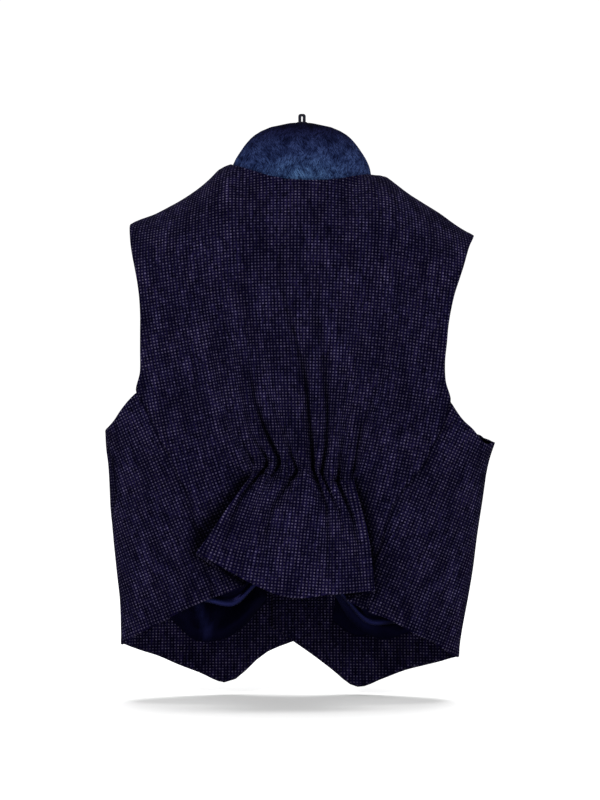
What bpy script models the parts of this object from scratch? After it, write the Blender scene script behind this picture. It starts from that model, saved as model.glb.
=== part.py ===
"""Tailored waistcoat on a hanging bust form.

Frame: metres, +Z up. The origin is the middle of the eye of the loop that the form hangs by.
The back of the waistcoat faces -Y and its front +Y, so the wearer's right side is +X.
Every table below is in millimetres. "left" and "right" are those of someone who looks
at the back, at -X and +X.
"""
import math

import bmesh
import bpy
import numpy as np

MM = 0.001

# Cloth
CLOTH = 1.4                 # wall of the suiting, interlining included
FACING = 1.2                # wall of the facings
LINING = 1.0                # wall of the satin
SEAM_GAP = 0.34             # between two pieces at a seam
LAYER_GAP = 0.4             # between two pieces that lie on each other

# Rows of the back, from the top edge through the underarm and the waist down to the hem
ROWS_YOKE = 12
YOKE_EASE = 1.5             # rows are closer together at the shoulder
RIB_ROWS = (0.0, 0.2, 0.4, 0.6, 0.78, 0.9)              # from the underarm to the waist
SKIRT_ROWS = (0.0, 0.05, 0.12, 0.21, 0.34, 0.5, 0.667, 0.778, 0.889, 1.0)
WAIST_ROW = ROWS_YOKE + len(RIB_ROWS)

# Columns of the centre back: beside the gathers, and between two folds
COLUMNS_SIDE = 8
COLUMNS_FOLD = 3
COLUMNS_SIDE_PANEL = 6
COLUMNS_FRONT = 8           # up to the facing

# The garment's section at each height: where its sides are and how deep it is
SECTION = {
    "height": (-640, -600, -560, -520, -480, -440, -400, -360, -300, -230, -150, -100, -60),
    "left":   (-206, -208, -209, -213, -217, -220, -222, -226, -226, -226, -226, -226, -226),
    "right":  (178, 182, 189, 196, 201, 207, 213, 224, 226, 226, 226, 226, 226),
    "behind": (50, 51, 53, 54, 56, 58, 59, 62, 67, 70, 69, 64, 58),
    "ahead":  (48, 50, 53, 56, 59, 62, 65, 71, 79, 78, 72, 68, 64),
}

# Shoulders run from neck point to tip, and the neckline between the neck points
SHOULDER_LEFT = {
    "x":      (-196.7, -186, -172.5, -154, -135.7, -117.3, -104, -95, -85.1),
    "height": (-121.8, -116, -111.4, -102.2, -91.9, -79.2, -67.6, -58.6, -53.9),
}
SHOULDER_RIGHT = {
    "x":      (85.1, 95, 104, 122, 140, 159, 177, 196.6),
    "height": (-65.4, -66.6, -72.5, -86.1, -97.6, -109.5, -122.6, -134.4),
}
NECKLINE = {
    "x":      (-85.1, -75, -56.6, -36, -13.5, 9, 31.5, 54.3, 77, 85.1),
    "height": (-53.9, -57, -63.8, -70.7, -75, -76.1, -75.2, -71.2, -66, -65.4),
}
NECK_HALF_WIDTH = 85.1
NECK_DEPTH = 49.8           # how far behind the neck points the neckline reaches
SHOULDER_ROUND = 75         # height over which the shoulder rounds to the full depth
NECK_BLEND = 22             # width over which the neck's stand turns into the shoulder's round

# Edges of the centre back: the armhole, then the princess seam
BACK_EDGE_LEFT = {
    "height": (-544.4, -521.6, -500, -472, -447.4, -431.7, -418, -401.3, -382.5, -367.9,
               -353.1, -341.1, -324, -315.1, -296, -224, -196, -169, -150, -130.7, -121.8),
    "x":      (-100.1, -104.6, -112.4, -119.2, -123.7, -129.6, -135, -142.4, -150.9, -160.5,
               -167, -171.7, -181, -186.7, -182.2, -181.8, -184.3, -189.3, -193.3, -195.8, -196.7),
}
BACK_EDGE_RIGHT = {
    "height": (-560, -514, -480.3, -449.9, -432, -413, -390.5, -378.2, -365.4, -352.3,
               -343.3, -325.3, -314, -305, -287, -269, -242, -205, -187, -168, -149, -134.4),
    "x":      (74.1, 80.8, 89.8, 98.8, 107.8, 123.6, 140.3, 145.2, 152, 158.5,
               162.3, 166.9, 163.5, 161.3, 159.5, 161.3, 163.5, 170.6, 176.5, 183, 189, 196.6),
}
UNDERARM_SEAM = {"left": -315.1, "right": -325.3}       # where the princess seam meets the armhole
TIP = {"left": -121.8, "right": -134.4}
WAIST = {
    "x":      (-142, -75, -55, -47, -40, -26, -6, 11, 21, 40, 56, 75, 130),
    "height": (-401.3, -403, -401, -397, -396, -396, -402.5, -399, -405, -414, -412, -411, -408),
}

# Folds drawn in by the elastic, left to right: where each crease runs and how deep it is
FOLD_NAMES = ("yoke", "blade", "chest", "rib", "waist", "flare", "hem",
                "blade_in", "chest_in", "rib_in", "waist_in", "flare_in", "hem_in")
FOLDS = [dict(zip(FOLD_NAMES, row)) for row in (
    (-112, -109, -96, -83, -55, -74, -108,  0.0, 0.6, 1.8, 3.6, 0.0, 0.0),
    (-85, -84, -72, -61, -40, -70, -92,     0.0, 0.0, 0.8, 3.0, 2.2, 0.4),
    (-62, -64, -57, -45, -26, -53, -70,     0.0, 1.2, 2.8, 3.6, 0.8, 0.3),
    (-38, -46, -36, -24, -6, -35, -46,      0.0, 0.0, 1.4, 3.6, 2.0, 0.4),
    (-14, -22, 3, 8.5, 12.5, 28, 28,        1.4, 3.0, 3.4, 3.8, 2.4, 0.3),
    (20, 14, 26, 28.5, 22, 43, 47,          0.0, 1.2, 2.8, 3.4, 0.6, 0.0),
    (85, 62, 52, 45, 40, 58, 66,            0.0, 0.0, 1.0, 3.4, 2.2, 0.8),
    (114, 108, 95, 75, 56, 65, 74,          0.0, 0.6, 2.0, 3.6, 0.0, 0.0),
)]
FOLD_HEIGHTS = {"yoke": -110, "blade": -208, "chest": -300, "rib": -350}
FLARE_AT = 0.4              # the flare level, from the waist (0) to the hem (1)
CREASE_REACH = 6.0          # half-width of a crease
PUFF = 2.6                  # cloth between two creases stands out by this at the waist
PUFF_ABOVE = 34             # height above the waist over which it does
PUFF_BELOW = 0.45           # and share of the fan below it
PINCH = 3.0                 # the elastic draws the waist in by this
PINCH_REACH = 22
PINCH_BELOW = 0.2
PINCH_HALF_WIDTH = 115
PINCH_FADE = 50
FOLD_SETTLED = 0.12         # share of the fan over which its hidden folds reach their places

# Fan below the elastic: its outer edges and the hidden inner folds, and how far it stands out
FAN = {
    "level":      (0.0, 0.12, 0.25, 0.5, 0.75, 1.0),
    "left edge":  (-50.5, -60, -69.5, -85.5, -101, -116.5),
    "right edge": (54.5, 61, 65.5, 73, 77.5, 80),
    "left fold":  (-53, -54, -55.5, -58.5, -62.5, -66),
    "right fold": (56, 55.5, 55, 54, 52, 50),
    "middle out": (58.5, 65, 69, 76, 81.5, 85.5),
}
FAN_ROUND = 0.8             # how fully the fan rounds out between its edges
FAN_HEM = {
    "x":      (-116.5, -89, -69, -48, -27, -11, 4, 20, 35, 51, 80),
    "height": (-491, -507, -518, -528.5, -536.5, -541, -540.5, -538, -537, -536, -533.5),
}
HIDDEN_HEM = {"left": -533, "right": -548}
# The fold at each side of the fan, an S in plan: how far the cloth turns, and its hidden layer
FOLD_RADIUS = 1.9
FOLD_BELOW = {"level": (0.0, 0.05, 0.12, 0.21, 1.0), "turn": (80, 115, 150, 165, 165)}
FOLD_ABOVE = {"over waist": (0, 12, 30, 50, 300), "turn": (80, 50, 15, 0, 0),
              "hidden": (2.5, 5.5, 11, 16, 24)}
HIDDEN_LEAST = 2.5          # of the layer between the two bends
TURN_LEVEL = 0.3            # least share by which that layer runs level
FOLD_COLUMNS_ACROSS = 6
FOLD_FORMED = 80            # turn at which the columns have moved into the bends

# Side backs: armhole from the princess seam to the underarm, hem, and turn of the side seam
ARMPIT_LEFT = {"x": (-186.7, -194.9, -203.3, -209.3, -216.6, -225.3),
               "height": (-315.1, -323, -332.1, -341.2, -350.4, -358.5)}
ARMPIT_RIGHT = {"x": (166.9, 170.6, 177.7, 186.2, 199.4, 207.5, 213, 222.5),
                "height": (-325.3, -332, -341.1, -350.6, -361.5, -371, -374.5, -372)}
SIDE_HEM_LEFT = {"x": (-206.5, -190.8, -175.2, -160.3, -142.6, -128.2, -116.5, -100.1),
                 "height": (-603, -591.1, -582.3, -574.8, -561.3, -556.7, -553, -544.4)}
SIDE_HEM_RIGHT = {"x": (74.1, 83.3, 92, 108, 126.7, 148.8, 159.5, 172.9, 180.5),
                  "height": (-560, -565.1, -568.6, -573.5, -585.6, -596.2, -603.3, -613.8, -617.4)}
SIDE_SEAM_TURN = {"height": (-620, -480, -455, -425, -390, -350),
                  "left": (89, 88, 81, 73, 77, 88), "right": (86, 84, 83, 82, 83, 87)}

# Fronts
CENTRE_FRONT = -13
OVERLAP = 22                # each front passes the centre front by this
NECK_BOTTOM = -318
V_EDGE = {"from centre": (72, 66, 53, 38, 22), "height": (-54, -90, -165, -240, -318)}
V_CROSSES_FROM = 0.58       # share of the V below which the two edges draw together and cross
FRONT_ARMHOLE = {
    "height": (-371, -366.5, -361.5, -354.5, -342, -325, -305, -280, -240, -200, -160, -121.8),
    "out": (223, 214, 204, 190, 177, 169, 165.5, 164, 165.5, 171.5, 182, 196.7),
}
FRONT_HEM = {
    "x": (-206.5, -200.5, -183.3, -165.3, -147.1, -128.6, -110.1, -98.4, -90.3, -82.1, -72.7,
          -54, -35.2, -9.4, 9, 21.2, 40, 54.1, 64.6, 77.5, 86.8, 105.3, 123.8, 142.1, 160.2, 180.5),
    "left": (-603, -606.5, -614.3, -621.1, -630.1, -637.7, -645.3, -650.1, -653.3, -648.1, -640,
             -626, -615.6, -605.6, -598, -592, -584, -578, -572, -570, -570, -570, -570, -570,
             -570, -570),
    "right": (-570, -570, -570, -570, -570, -570, -570, -570, -570, -570, -575,
              -582, -589, -605.6, -617.5, -626.2, -640.1, -652.9, -658.6, -656.1, -652.3, -644.7,
              -637.1, -631.6, -625.9, -617.4),
}
FRONT_SHARES = (0.0, 0.04, 0.11, 0.2, 0.31, 0.43, 0.56, 0.68, 0.79, 0.88, 0.945)
FRONT_ROWS = len(FRONT_SHARES)      # from the shoulder to the underarm
ROW_BOW = 0.9               # how level the rows leave the underarm
ROW_SAG = 6.0               # how far they hang below it
LAP_LIFT = 1.9              # the outer front stands out, and the inner one in, by this
LAP_FADE = 60

# Facings and linings
FACING_INSET = 1.2          # from the front's own edge
POINT_AT = 0.691            # share of a front's width at which its hem comes to a point
FACING_FROM = {"left": 0.85, "right": 0.79}             # and at which its facing starts
ROWS_FACING = 3             # rows of the front that the facing takes along the hem
COLUMNS_FACING = 4          # and columns along the front edge
HEM_PULL = 1.6              # how fast the rows of a front take up the shape of its hem
LINING_TOP = {"left": -364, "right": -377}
LINING_LEVEL = -585         # height at which its side edges end
LINING_FROM_SEAM = 2.5      # degrees from the side seam
LINING_BELOW_ARMHOLE = 6
LINING_FRONT_HEM = {
    "left": {"x": (-206, -180, -159, -150, -131, -113.5, -105.4, -90, -67, -50, -40),
             "height": (-562, -563, -570, -581, -600, -607.5, -607.8, -601, -581, -568, -553)},
    "right": {"x": (34, 39, 56, 74, 85.5, 108.7, 131.9, 149, 180),
              "height": (-548, -558, -579, -598, -605, -600, -593, -589, -580)},
}
LINING_BACK_HEM = {
    "x":      (-206, -190, -150, -125, -105, -89, -69, -54, -38, 0, 30, 45, 60, 80, 98,
               115, 150, 180),
    "height": (-584, -574, -553, -548, -552, -557, -549, -533, -520, -512, -526, -548, -562, -577,
               -577, -570, -582, -598),
}
LINING_BACK_SLACK = {"x": (-200, -135, -85, 0, 80, 125, 200), "in": (2.5, 3.2, 8.6, 8.9, 8.6, 3.2, 2.5)}
LINING_COLUMNS = 18
LINING_ROWS = 8

# Buttons
BUTTON_HEIGHTS = [-578 + 62 * step for step in range(5)]
BUTTON_RADIUS = 8.5
BUTTON_THICK = 3.2
BUTTON_DISH = 1.0
BUTTON_CLEAR = 0.5
BUTTON_RIM = 2.2
BUTTON_BEVEL = 0.7
BUTTON_SIDES = 20
BUTTON_SPAN = {"turn": 2.0, "height": 6.0}              # over which the front's slope is taken

# Form: half-widths and half-depth at each height, about its own middle
FORM_MIDDLE = -1.4
FORM = {
    "height": (-5.5, -10.2, -19.4, -28.6, -37.8, -47, -57, -68, -77.5, -92, -104.5, -117, -137,
               -165, -210, -280, -340, -372, -388, -395),
    "wide":   (16, 36.5, 54, 63, 69.6, 75.3, 79.6, 82.2, 100.5, 122.5, 140, 153, 162,
               164, 162, 156, 149, 142, 128, 100),
    "deep":   (11, 22, 33, 39, 42.4, 44.2, 45, 45.2, 45.6, 47, 48.5, 50, 53.5,
               57.5, 60, 58, 50, 44, 35, 24),
}
FORM_EXTRA_HEIGHTS = (-7.5, -14, -72.5, -85, -127, -150, -187, -235, -260, -310, -357, -381)
FORM_SIDES = 40
FORM_TILT = 0.04            # its left shoulder stands higher than its right one
FORM_TILTS_FROM = -50
FORM_TILTED_AT = -85

# Stud: a small upright loop on a low flange
LOOP_HALF_WIDTH = 4.3
LOOP_HALF_DEPTH = 1.9
LOOP_TOP = 5.8
LOOP_BOTTOM = -3.8
LOOP_SUNK = 0.6             # how far the loop reaches into its flange
LOOP_CORNER = (2.4, 0.8)    # where its round corner starts, and its middle point
EYE_HALF_WIDTH = 0.8
EYE_HALF_HEIGHT = 3.3
EYE_REACH = 6.0
FLANGE_RADIUS = 6.5
FLANGE_BEVEL = 0.5
FLANGE_SIDES = 20
STUD_BOTTOM = -5.2


def clear_scene():
    for thing in list(bpy.data.objects):
        bpy.data.objects.remove(thing, do_unlink=True)


def material(name, colour, roughness, metallic=0.0):
    made = bpy.data.materials.new(name)
    made.use_nodes = True
    shader = made.node_tree.nodes["Principled BSDF"]
    shader.inputs["Base Color"].default_value = (*colour, 1.0)
    shader.inputs["Roughness"].default_value = roughness
    shader.inputs["Metallic"].default_value = metallic
    return made


# ---------------------------------------------------------------- curves and base surfaces

def smooth(knots, values, at):
    """Cubic through the values, level at each local peak, so that it never overshoots."""
    knots = np.asarray(knots, float)
    values = np.asarray(values, float)
    if knots[0] > knots[-1]:
        knots, values = knots[::-1], values[::-1]
    step = np.diff(knots)
    rise = np.diff(values) / step
    slope = np.zeros(len(knots))
    slope[0], slope[-1] = rise[0], rise[-1]
    before, after = rise[:-1], rise[1:]
    weight_a, weight_b = 2 * step[1:] + step[:-1], step[1:] + 2 * step[:-1]
    same_way = before * after > 0
    safe_before = np.where(same_way, before, 1.0)
    safe_after = np.where(same_way, after, 1.0)
    mean = (weight_a + weight_b) / (weight_a / safe_before + weight_b / safe_after)
    slope[1:-1] = np.where(same_way, mean, 0.0)
    at = np.clip(np.asarray(at, float), knots[0], knots[-1])
    cell = np.clip(np.searchsorted(knots, at) - 1, 0, len(step) - 1)
    width = step[cell]
    part = (at - knots[cell]) / width
    return ((2 * part**3 - 3 * part**2 + 1) * values[cell]
            + (part**3 - 2 * part**2 + part) * width * slope[cell]
            + (3 * part**2 - 2 * part**3) * values[cell + 1]
            + (part**3 - part**2) * width * slope[cell + 1])


def ease(value):
    value = np.clip(value, 0.0, 1.0)
    return value * value * (3 - 2 * value)


def mix(start, end, part):
    return start + (end - start) * part


def section(column, height):
    return smooth(SECTION["height"], SECTION[column], height)


def middle_of(height):
    return (section("left", height) + section("right", height)) / 2


def half_of(height):
    return (section("right", height) - section("left", height)) / 2


def crown(x, height):
    """Share of the full depth that the section has at x."""
    across = (x - middle_of(height)) / half_of(height)
    return np.sqrt(np.maximum(1 - across**2, 0.0))


def top_edge(x):
    """Height of the shoulders and the neckline at x."""
    left = smooth(SHOULDER_LEFT["x"], SHOULDER_LEFT["height"], x)
    right = smooth(SHOULDER_RIGHT["x"], SHOULDER_RIGHT["height"], x)
    neck = smooth(NECKLINE["x"], NECKLINE["height"], x)
    return np.where(x < -NECK_HALF_WIDTH, left, np.where(x > NECK_HALF_WIDTH, right, neck))


def shoulder_only(x):
    """The same for the fronts, which have no neckline there: level with the neck points."""
    left = smooth(SHOULDER_LEFT["x"], SHOULDER_LEFT["height"], np.minimum(x, -NECK_HALF_WIDTH))
    right = smooth(SHOULDER_RIGHT["x"], SHOULDER_RIGHT["height"], np.maximum(x, NECK_HALF_WIDTH))
    return np.where(x < 0, left, right)


def rounding(below, stands):
    """Growth from an edge to the full depth: round at a shoulder, slow at the neck."""
    part = np.clip(below / SHOULDER_ROUND, 0.0, 1.0)
    return mix(np.sqrt(1 - (1 - part)**2), np.sin(part * math.pi / 2), stands)


def back_depth(x, height):
    """Y of the smooth back, without folds."""
    full = section("behind", height) * crown(x, height)
    inside = np.clip(1 - (x / NECK_HALF_WIDTH)**2, 0.0, 1.0)
    edge = NECK_DEPTH * np.sqrt(inside)
    stands = ease((NECK_HALF_WIDTH - np.abs(x)) / NECK_BLEND)
    return -mix(edge, full, rounding(top_edge(x) - height, stands))


# ---------------------------------------------------------------- walls

def normals_of(grid):
    along = np.gradient(grid, axis=0)
    across = np.gradient(grid, axis=1)
    normal = np.cross(along, across)
    return normal / np.linalg.norm(normal, axis=2, keepdims=True)


def inset(grid, sides, distance):
    """Draws the named edges of a grid back."""
    drawn = grid.copy()
    for side in sides:
        edge, inner = {"top": (0, 1), "bottom": (-1, -2), "left": (0, 1), "right": (-1, -2)}[side]
        in_rows = side in ("top", "bottom")
        line, turned = (drawn, grid) if in_rows else (drawn.swapaxes(0, 1), grid.swapaxes(0, 1))
        away = turned[inner] - turned[edge]
        line[edge] += away / np.linalg.norm(away, axis=1, keepdims=True) * distance
    return drawn


def outward(grid):
    """Normals of a grid that point away from the garment's upright axis."""
    normal = normals_of(grid)
    away = grid * (1.0, 1.0, 0.0)
    return normal if np.sum(normal * away) > 0 else -normal


def moved_in(grid, distance):
    """What lies inside a panel: the panel's points, moved in along its normals."""
    return grid - outward(grid) * distance


def wall(name, grid, thickness, finish, seams=(), left_out=None, normal=None):
    """A closed wall about a grid of points, in millimetres, without the cells left out."""
    if normal is None:
        normal = outward(grid)
    grid = inset(grid, seams, SEAM_GAP / 2)
    rows, columns = grid.shape[:2]
    layers = [grid + normal * thickness / 2, grid - normal * thickness / 2]
    index = np.arange(rows * columns).reshape(rows, columns)
    cells = [(index[row, column], index[row + 1, column], index[row + 1, column + 1], index[row, column + 1])
             for row in range(rows - 1) for column in range(columns - 1)
             if left_out is None or not left_out(row, column)]
    edges = {(quad[corner], quad[(corner + 1) % 4]) for quad in cells for corner in range(4)}
    rim = [(here, there) for here, there in edges if (there, here) not in edges]
    used = sorted({corner for quad in cells for corner in quad})
    place = {corner: number for number, corner in enumerate(used)}
    back = len(used)
    points = np.concatenate([layer.reshape(-1, 3)[used] for layer in layers]) * MM
    faces = [[place[corner] for corner in quad] for quad in cells]
    faces += [[place[corner] + back for corner in reversed(quad)] for quad in cells]
    faces += [[place[there], place[here], place[here] + back, place[there] + back]
              for here, there in sorted(rim)]
    return add_mesh(name, points, faces, finish)


def shared_normals(grids):
    """Normals of panels that meet: alike where they share a point of a seam."""
    normals = {name: outward(grid) for name, grid in grids.items()}
    for name, grid in grids.items():
        if name in ("back_centre", "front_left", "front_right"):
            seam = np.abs(grid[0, :, 0]) >= NECK_HALF_WIDTH - 1
            normals[name][0, seam, 1] = 0.0
    meeting = {}
    for name, grid in grids.items():
        for row in range(grid.shape[0]):
            for column in (0, grid.shape[1] - 1):
                key = tuple(np.round(grid[row, column], 2))
                meeting.setdefault(key, []).append((name, row, column))
    for places in meeting.values():
        total = sum(normals[name][row, column] for name, row, column in places)
        for name, row, column in places:
            normals[name][row, column] = total
    return {name: normal / np.linalg.norm(normal, axis=2, keepdims=True) for name, normal in normals.items()}


def add_mesh(name, points, faces, finish):
    mesh = bpy.data.meshes.new(name)
    mesh.from_pydata([tuple(map(float, point)) for point in points], [],
                     [[int(corner) for corner in face] for face in faces])
    shell = bmesh.new()
    shell.from_mesh(mesh)
    bmesh.ops.recalc_face_normals(shell, faces=shell.faces)
    bmesh.ops.triangulate(shell, faces=[face for face in shell.faces if len(face.verts) == 4])
    shell.to_mesh(mesh)
    shell.free()
    mesh.shade_smooth()
    mesh.materials.append(finish)
    made = bpy.data.objects.new(name, mesh)
    bpy.context.scene.collection.objects.link(made)
    return made


# ---------------------------------------------------------------- centre back

def edge_x(side, height):
    table = BACK_EDGE_LEFT if side == "left" else BACK_EDGE_RIGHT
    return smooth(table["height"], table["x"], height)


def edge_heights(side):
    """Height of each row of the back at its left or right edge."""
    yoke = (np.arange(ROWS_YOKE) / ROWS_YOKE) ** YOKE_EASE
    waist = WAIST["height"][0] if side == "left" else WAIST["height"][-1]
    return np.concatenate([
        mix(TIP[side], UNDERARM_SEAM[side], yoke),
        mix(UNDERARM_SEAM[side], waist, np.array(RIB_ROWS)),
        mix(waist, hem_of_seam(side), np.array(SKIRT_ROWS))])


def hem_of_seam(side):
    """Height of the princess seam's lower end."""
    return SIDE_HEM_LEFT["height"][-1] if side == "left" else SIDE_HEM_RIGHT["height"][0]


def waist_at(x):
    return smooth(WAIST["x"], WAIST["height"], x)


def fold_at(fold, height, suffix=""):
    """Where a crease runs above the waist, or how deep it is."""
    levels = list(FOLD_HEIGHTS.values()) + [float(waist_at(fold["waist"]))]
    values = [fold.get(level + suffix, 0.0) for level in list(FOLD_HEIGHTS) + ["waist"]]
    return float(smooth(levels[::-1], values[::-1], height))


def below_waist(fold, share, suffix=""):
    values = [fold[level + suffix] for level in ("waist", "flare", "hem")]
    return float(smooth((0.0, FLARE_AT, 1.0), values, share))


def spread(keys, steps):
    """Places from the first key to the last, the given number of steps between each two."""
    places = [np.linspace(start, end, steps, endpoint=False) for start, end in zip(keys[:-1], keys[1:])]
    return np.concatenate(places + [keys[-1:]])


def gathers(x, creases, depths, puff):
    """Y that the creases and the puffs between them add."""
    added = np.zeros_like(x)
    for crease, depth in zip(creases, depths):
        added += depth * np.exp(-((x - crease) / CREASE_REACH)**2)
    for start, end in zip(creases[:-1], creases[1:]):
        part = np.clip((x - start) / (end - start), 0.0, 1.0)
        added -= puff * np.sin(part * math.pi)**2
    return added


def pinch_at(x):
    """How far the elastic draws the waist in."""
    return PINCH * ease((PINCH_HALF_WIDTH - np.abs(x)) / PINCH_FADE)


def s_fold(turn_degrees, hidden):
    """An S in plan, from the side sheet out to the fan: x, distance out, and share of its length."""
    turn = math.radians(turn_degrees)
    bend = FOLD_RADIUS * turn
    length = 2 * bend + hidden
    even = np.linspace(0.0, length, FOLD_COLUMNS_ACROSS + 1)
    formed = np.array((0.0, bend / 2, bend, bend + hidden / 2, bend + hidden, length - bend / 2, length))
    along = mix(even, formed, min(1.0, turn_degrees / FOLD_FORMED))
    first = np.clip(along, 0.0, bend) / FOLD_RADIUS
    straight = np.clip(along - bend, 0.0, hidden)
    last = turn - np.clip(along - bend - hidden, 0.0, bend) / FOLD_RADIUS
    x = FOLD_RADIUS * (np.sin(first) + math.sin(turn) - np.sin(last)) + straight * math.cos(turn)
    out = FOLD_RADIUS * (1 - np.cos(first) + np.cos(last) - math.cos(turn)) + straight * math.sin(turn)
    return x, out, along / length


def row_above(share, left_z, right_z, in_yoke):
    """One row of the centre back above the waist, as points (x, y, z)."""
    x_left, x_right = float(edge_x("left", left_z)), float(edge_x("right", right_z))
    underarm = (UNDERARM_SEAM["left"] + UNDERARM_SEAM["right"]) / 2
    level = mix(FOLD_HEIGHTS["yoke"], underarm, share) if in_yoke else (left_z + right_z) / 2
    creases = np.array([fold_at(fold, level) for fold in FOLDS])
    depths = [fold_at(fold, level, "_in") for fold in FOLDS]
    over_waist = max(0.0, level - (WAIST["height"][0] + WAIST["height"][-1]) / 2)
    turn = float(smooth(FOLD_ABOVE["over waist"], FOLD_ABOVE["turn"], over_waist))
    hidden = float(smooth(FOLD_ABOVE["over waist"], FOLD_ABOVE["hidden"], over_waist))
    fold_x, fold_out, _ = s_fold(turn, hidden)
    first = creases[0] + fold_x - fold_x[-1] / 2
    last = (creases[-1] - fold_x + fold_x[-1] / 2)[::-1]
    keys = np.concatenate([[first[-1]], creases[1:-1], [last[0]]])
    fan_x = spread(keys, COLUMNS_FOLD)
    left_x, right_x = [np.linspace(*ends, COLUMNS_SIDE + 1) for ends in ((x_left, first[0]), (last[-1], x_right))]
    x = np.concatenate([left_x[:-1], first[:-1], fan_x, last[1:], right_x[1:]])
    out = np.concatenate([np.zeros(COLUMNS_SIDE), fold_out[:-1], np.full(len(fan_x), fold_out[-1]),
                          fold_out[::-1][1:], np.zeros(COLUMNS_SIDE)])
    across = (x - x_left) / (x_right - x_left)
    underarm_row = mix(UNDERARM_SEAM["left"], UNDERARM_SEAM["right"], across)
    z = mix(top_edge(x), underarm_row, share) if in_yoke else mix(underarm_row, waist_at(x), share)
    z[0], z[-1] = left_z, right_z
    puff = PUFF * float(ease(1 - over_waist / PUFF_ABOVE))
    bumps = gathers(fan_x, keys, [0.0] + depths[1:-1] + [0.0], puff)
    y = back_depth(x, z) - out
    y[COLUMNS_SIDE + FOLD_COLUMNS_ACROSS:][:len(fan_x)] += bumps
    pinched = pinch_at(x) * ease(1 - (z - waist_at(x)) / PINCH_REACH)
    return np.stack([x, y + pinched, z], axis=1)


def row_below(share, left_z, right_z):
    """One row of the centre back below the waist: side, fold, fan, fold, side."""
    fan = {name: float(smooth(FAN["level"], FAN[name], share)) for name in FAN}
    turn = float(smooth(FOLD_BELOW["level"], FOLD_BELOW["turn"], share))
    top = row_above(1.0, WAIST["height"][0], WAIST["height"][-1], False)
    folded = COLUMNS_SIDE + FOLD_COLUMNS_ACROSS
    ends = (COLUMNS_SIDE, folded, len(top) - 1 - folded, len(top) - 1 - COLUMNS_SIDE)
    row = {}
    for side, sign, seam_z in (("left", 1, left_z), ("right", -1, right_z)):
        overlap = sign * (fan[side + " fold"] - fan[side + " edge"])
        sine, cosine = math.sin(math.radians(turn)), math.cos(math.radians(turn))
        hidden = max(HIDDEN_LEAST, (overlap - 2 * FOLD_RADIUS * (1 - sine)) / max(-cosine, TURN_LEVEL))
        fold_x, fold_out, part = s_fold(turn, hidden)
        start = fan[side + " fold"] - sign * FOLD_RADIUS
        start = mix(top[ends[0] if sign > 0 else ends[3], 0], start, ease(share / FOLD_SETTLED))
        seam_x = float(edge_x(side, seam_z))
        sheet_x = np.linspace(seam_x, start, COLUMNS_SIDE + 1)
        waist_end = top[ends[0] if sign > 0 else ends[3], 2]
        sheet_z = mix(seam_z, mix(waist_end, HIDDEN_HEM[side], share), np.linspace(0, 1, COLUMNS_SIDE + 1))
        sheet_y = back_depth(sheet_x, sheet_z) + pinch_at(sheet_x) * ease(1 - share / PINCH_BELOW)
        hem_z = FAN_HEM["height"][0 if sign > 0 else -1]
        waist_z = top[ends[0]:ends[1] + 1, 2] if sign > 0 else top[ends[2]:ends[3] + 1, 2][::-1]
        fold_z = mix(waist_z, mix(HIDDEN_HEM[side], hem_z, part), share)
        row[side] = (np.stack([sheet_x, sheet_y, sheet_z], axis=1),
                     np.stack([start + sign * fold_x, sheet_y[-1] - fold_out, fold_z], axis=1))
    left_sheet, left_fold = row["left"]
    right_sheet, right_fold = [points[::-1] for points in row["right"]]
    creases = np.array([below_waist(fold, share) for fold in FOLDS])
    depths = [below_waist(fold, share, "_in") for fold in FOLDS]
    creases[0], creases[-1] = left_fold[-1, 0], right_fold[0, 0]
    fan_x = spread(creases, COLUMNS_FOLD)
    across = (fan_x - fan_x[0]) / (fan_x[-1] - fan_x[0])
    edge_y = mix(left_fold[-1, 1], right_fold[0, 1], across)
    round_out = np.sin(across * math.pi) ** FAN_ROUND
    fan_y = mix(edge_y, -fan["middle out"], round_out)
    fan_y += gathers(fan_x, creases, [0.0] + depths[1:-1] + [0.0], PUFF * float(ease(1 - share / PUFF_BELOW)))
    hem = smooth(FAN_HEM["x"], FAN_HEM["height"], mix(FAN["left edge"][-1], FAN["right edge"][-1], across))
    fan_z = mix(top[ends[1]:ends[2] + 1, 2], hem, share)
    fan_points = np.stack([fan_x, fan_y, fan_z], axis=1)
    return np.concatenate([left_sheet[:-1], left_fold[:-1], fan_points, right_fold[1:], right_sheet[1:]])


def back_centre_grid():
    shares = np.concatenate([(np.arange(ROWS_YOKE) / ROWS_YOKE) ** YOKE_EASE, RIB_ROWS, SKIRT_ROWS])
    rows = []
    edges = zip(shares, edge_heights("left"), edge_heights("right"))
    for number, (share, left_z, right_z) in enumerate(edges):
        if number < WAIST_ROW:
            rows.append(row_above(share, left_z, right_z, number < ROWS_YOKE))
        else:
            rows.append(row_below(share, left_z, right_z))
    return np.array(rows)


# ---------------------------------------------------------------- side backs

def sign_of(side):
    return -1 if side == "left" else 1


def turn_at(side, x, height, ahead=False):
    """Angle round the section of a point at x, from the centre back, in degrees."""
    sine = np.clip(sign_of(side) * (x - middle_of(height)) / half_of(height), -1.0, 1.0)
    turn = np.degrees(np.arcsin(sine))
    return 180 - turn if ahead else turn


def around(side, turn, height):
    """Points of the smooth section at an angle from the centre back, with the fronts' overlap."""
    angle = np.radians(turn)
    x = middle_of(height) + sign_of(side) * half_of(height) * np.sin(angle)
    ahead = section("ahead", height) * rounding(shoulder_only(x) - height, 0.0)
    depth = np.where(np.cos(angle) > 0, section("behind", height), ahead)
    reach = np.abs(x - CENTRE_FRONT) - OVERLAP
    lift = LAP_LIFT * (1 - ease(reach / LAP_FADE)) * -sign_of(side)
    y = -depth * np.cos(angle) + np.where(np.asarray(turn) > 90, lift, 0.0)
    return np.stack([x, y, np.broadcast_to(height, x.shape)], axis=-1)


def armpit_and_hem(side):
    return (ARMPIT_LEFT, SIDE_HEM_LEFT) if side == "left" else (ARMPIT_RIGHT, SIDE_HEM_RIGHT)


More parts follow.
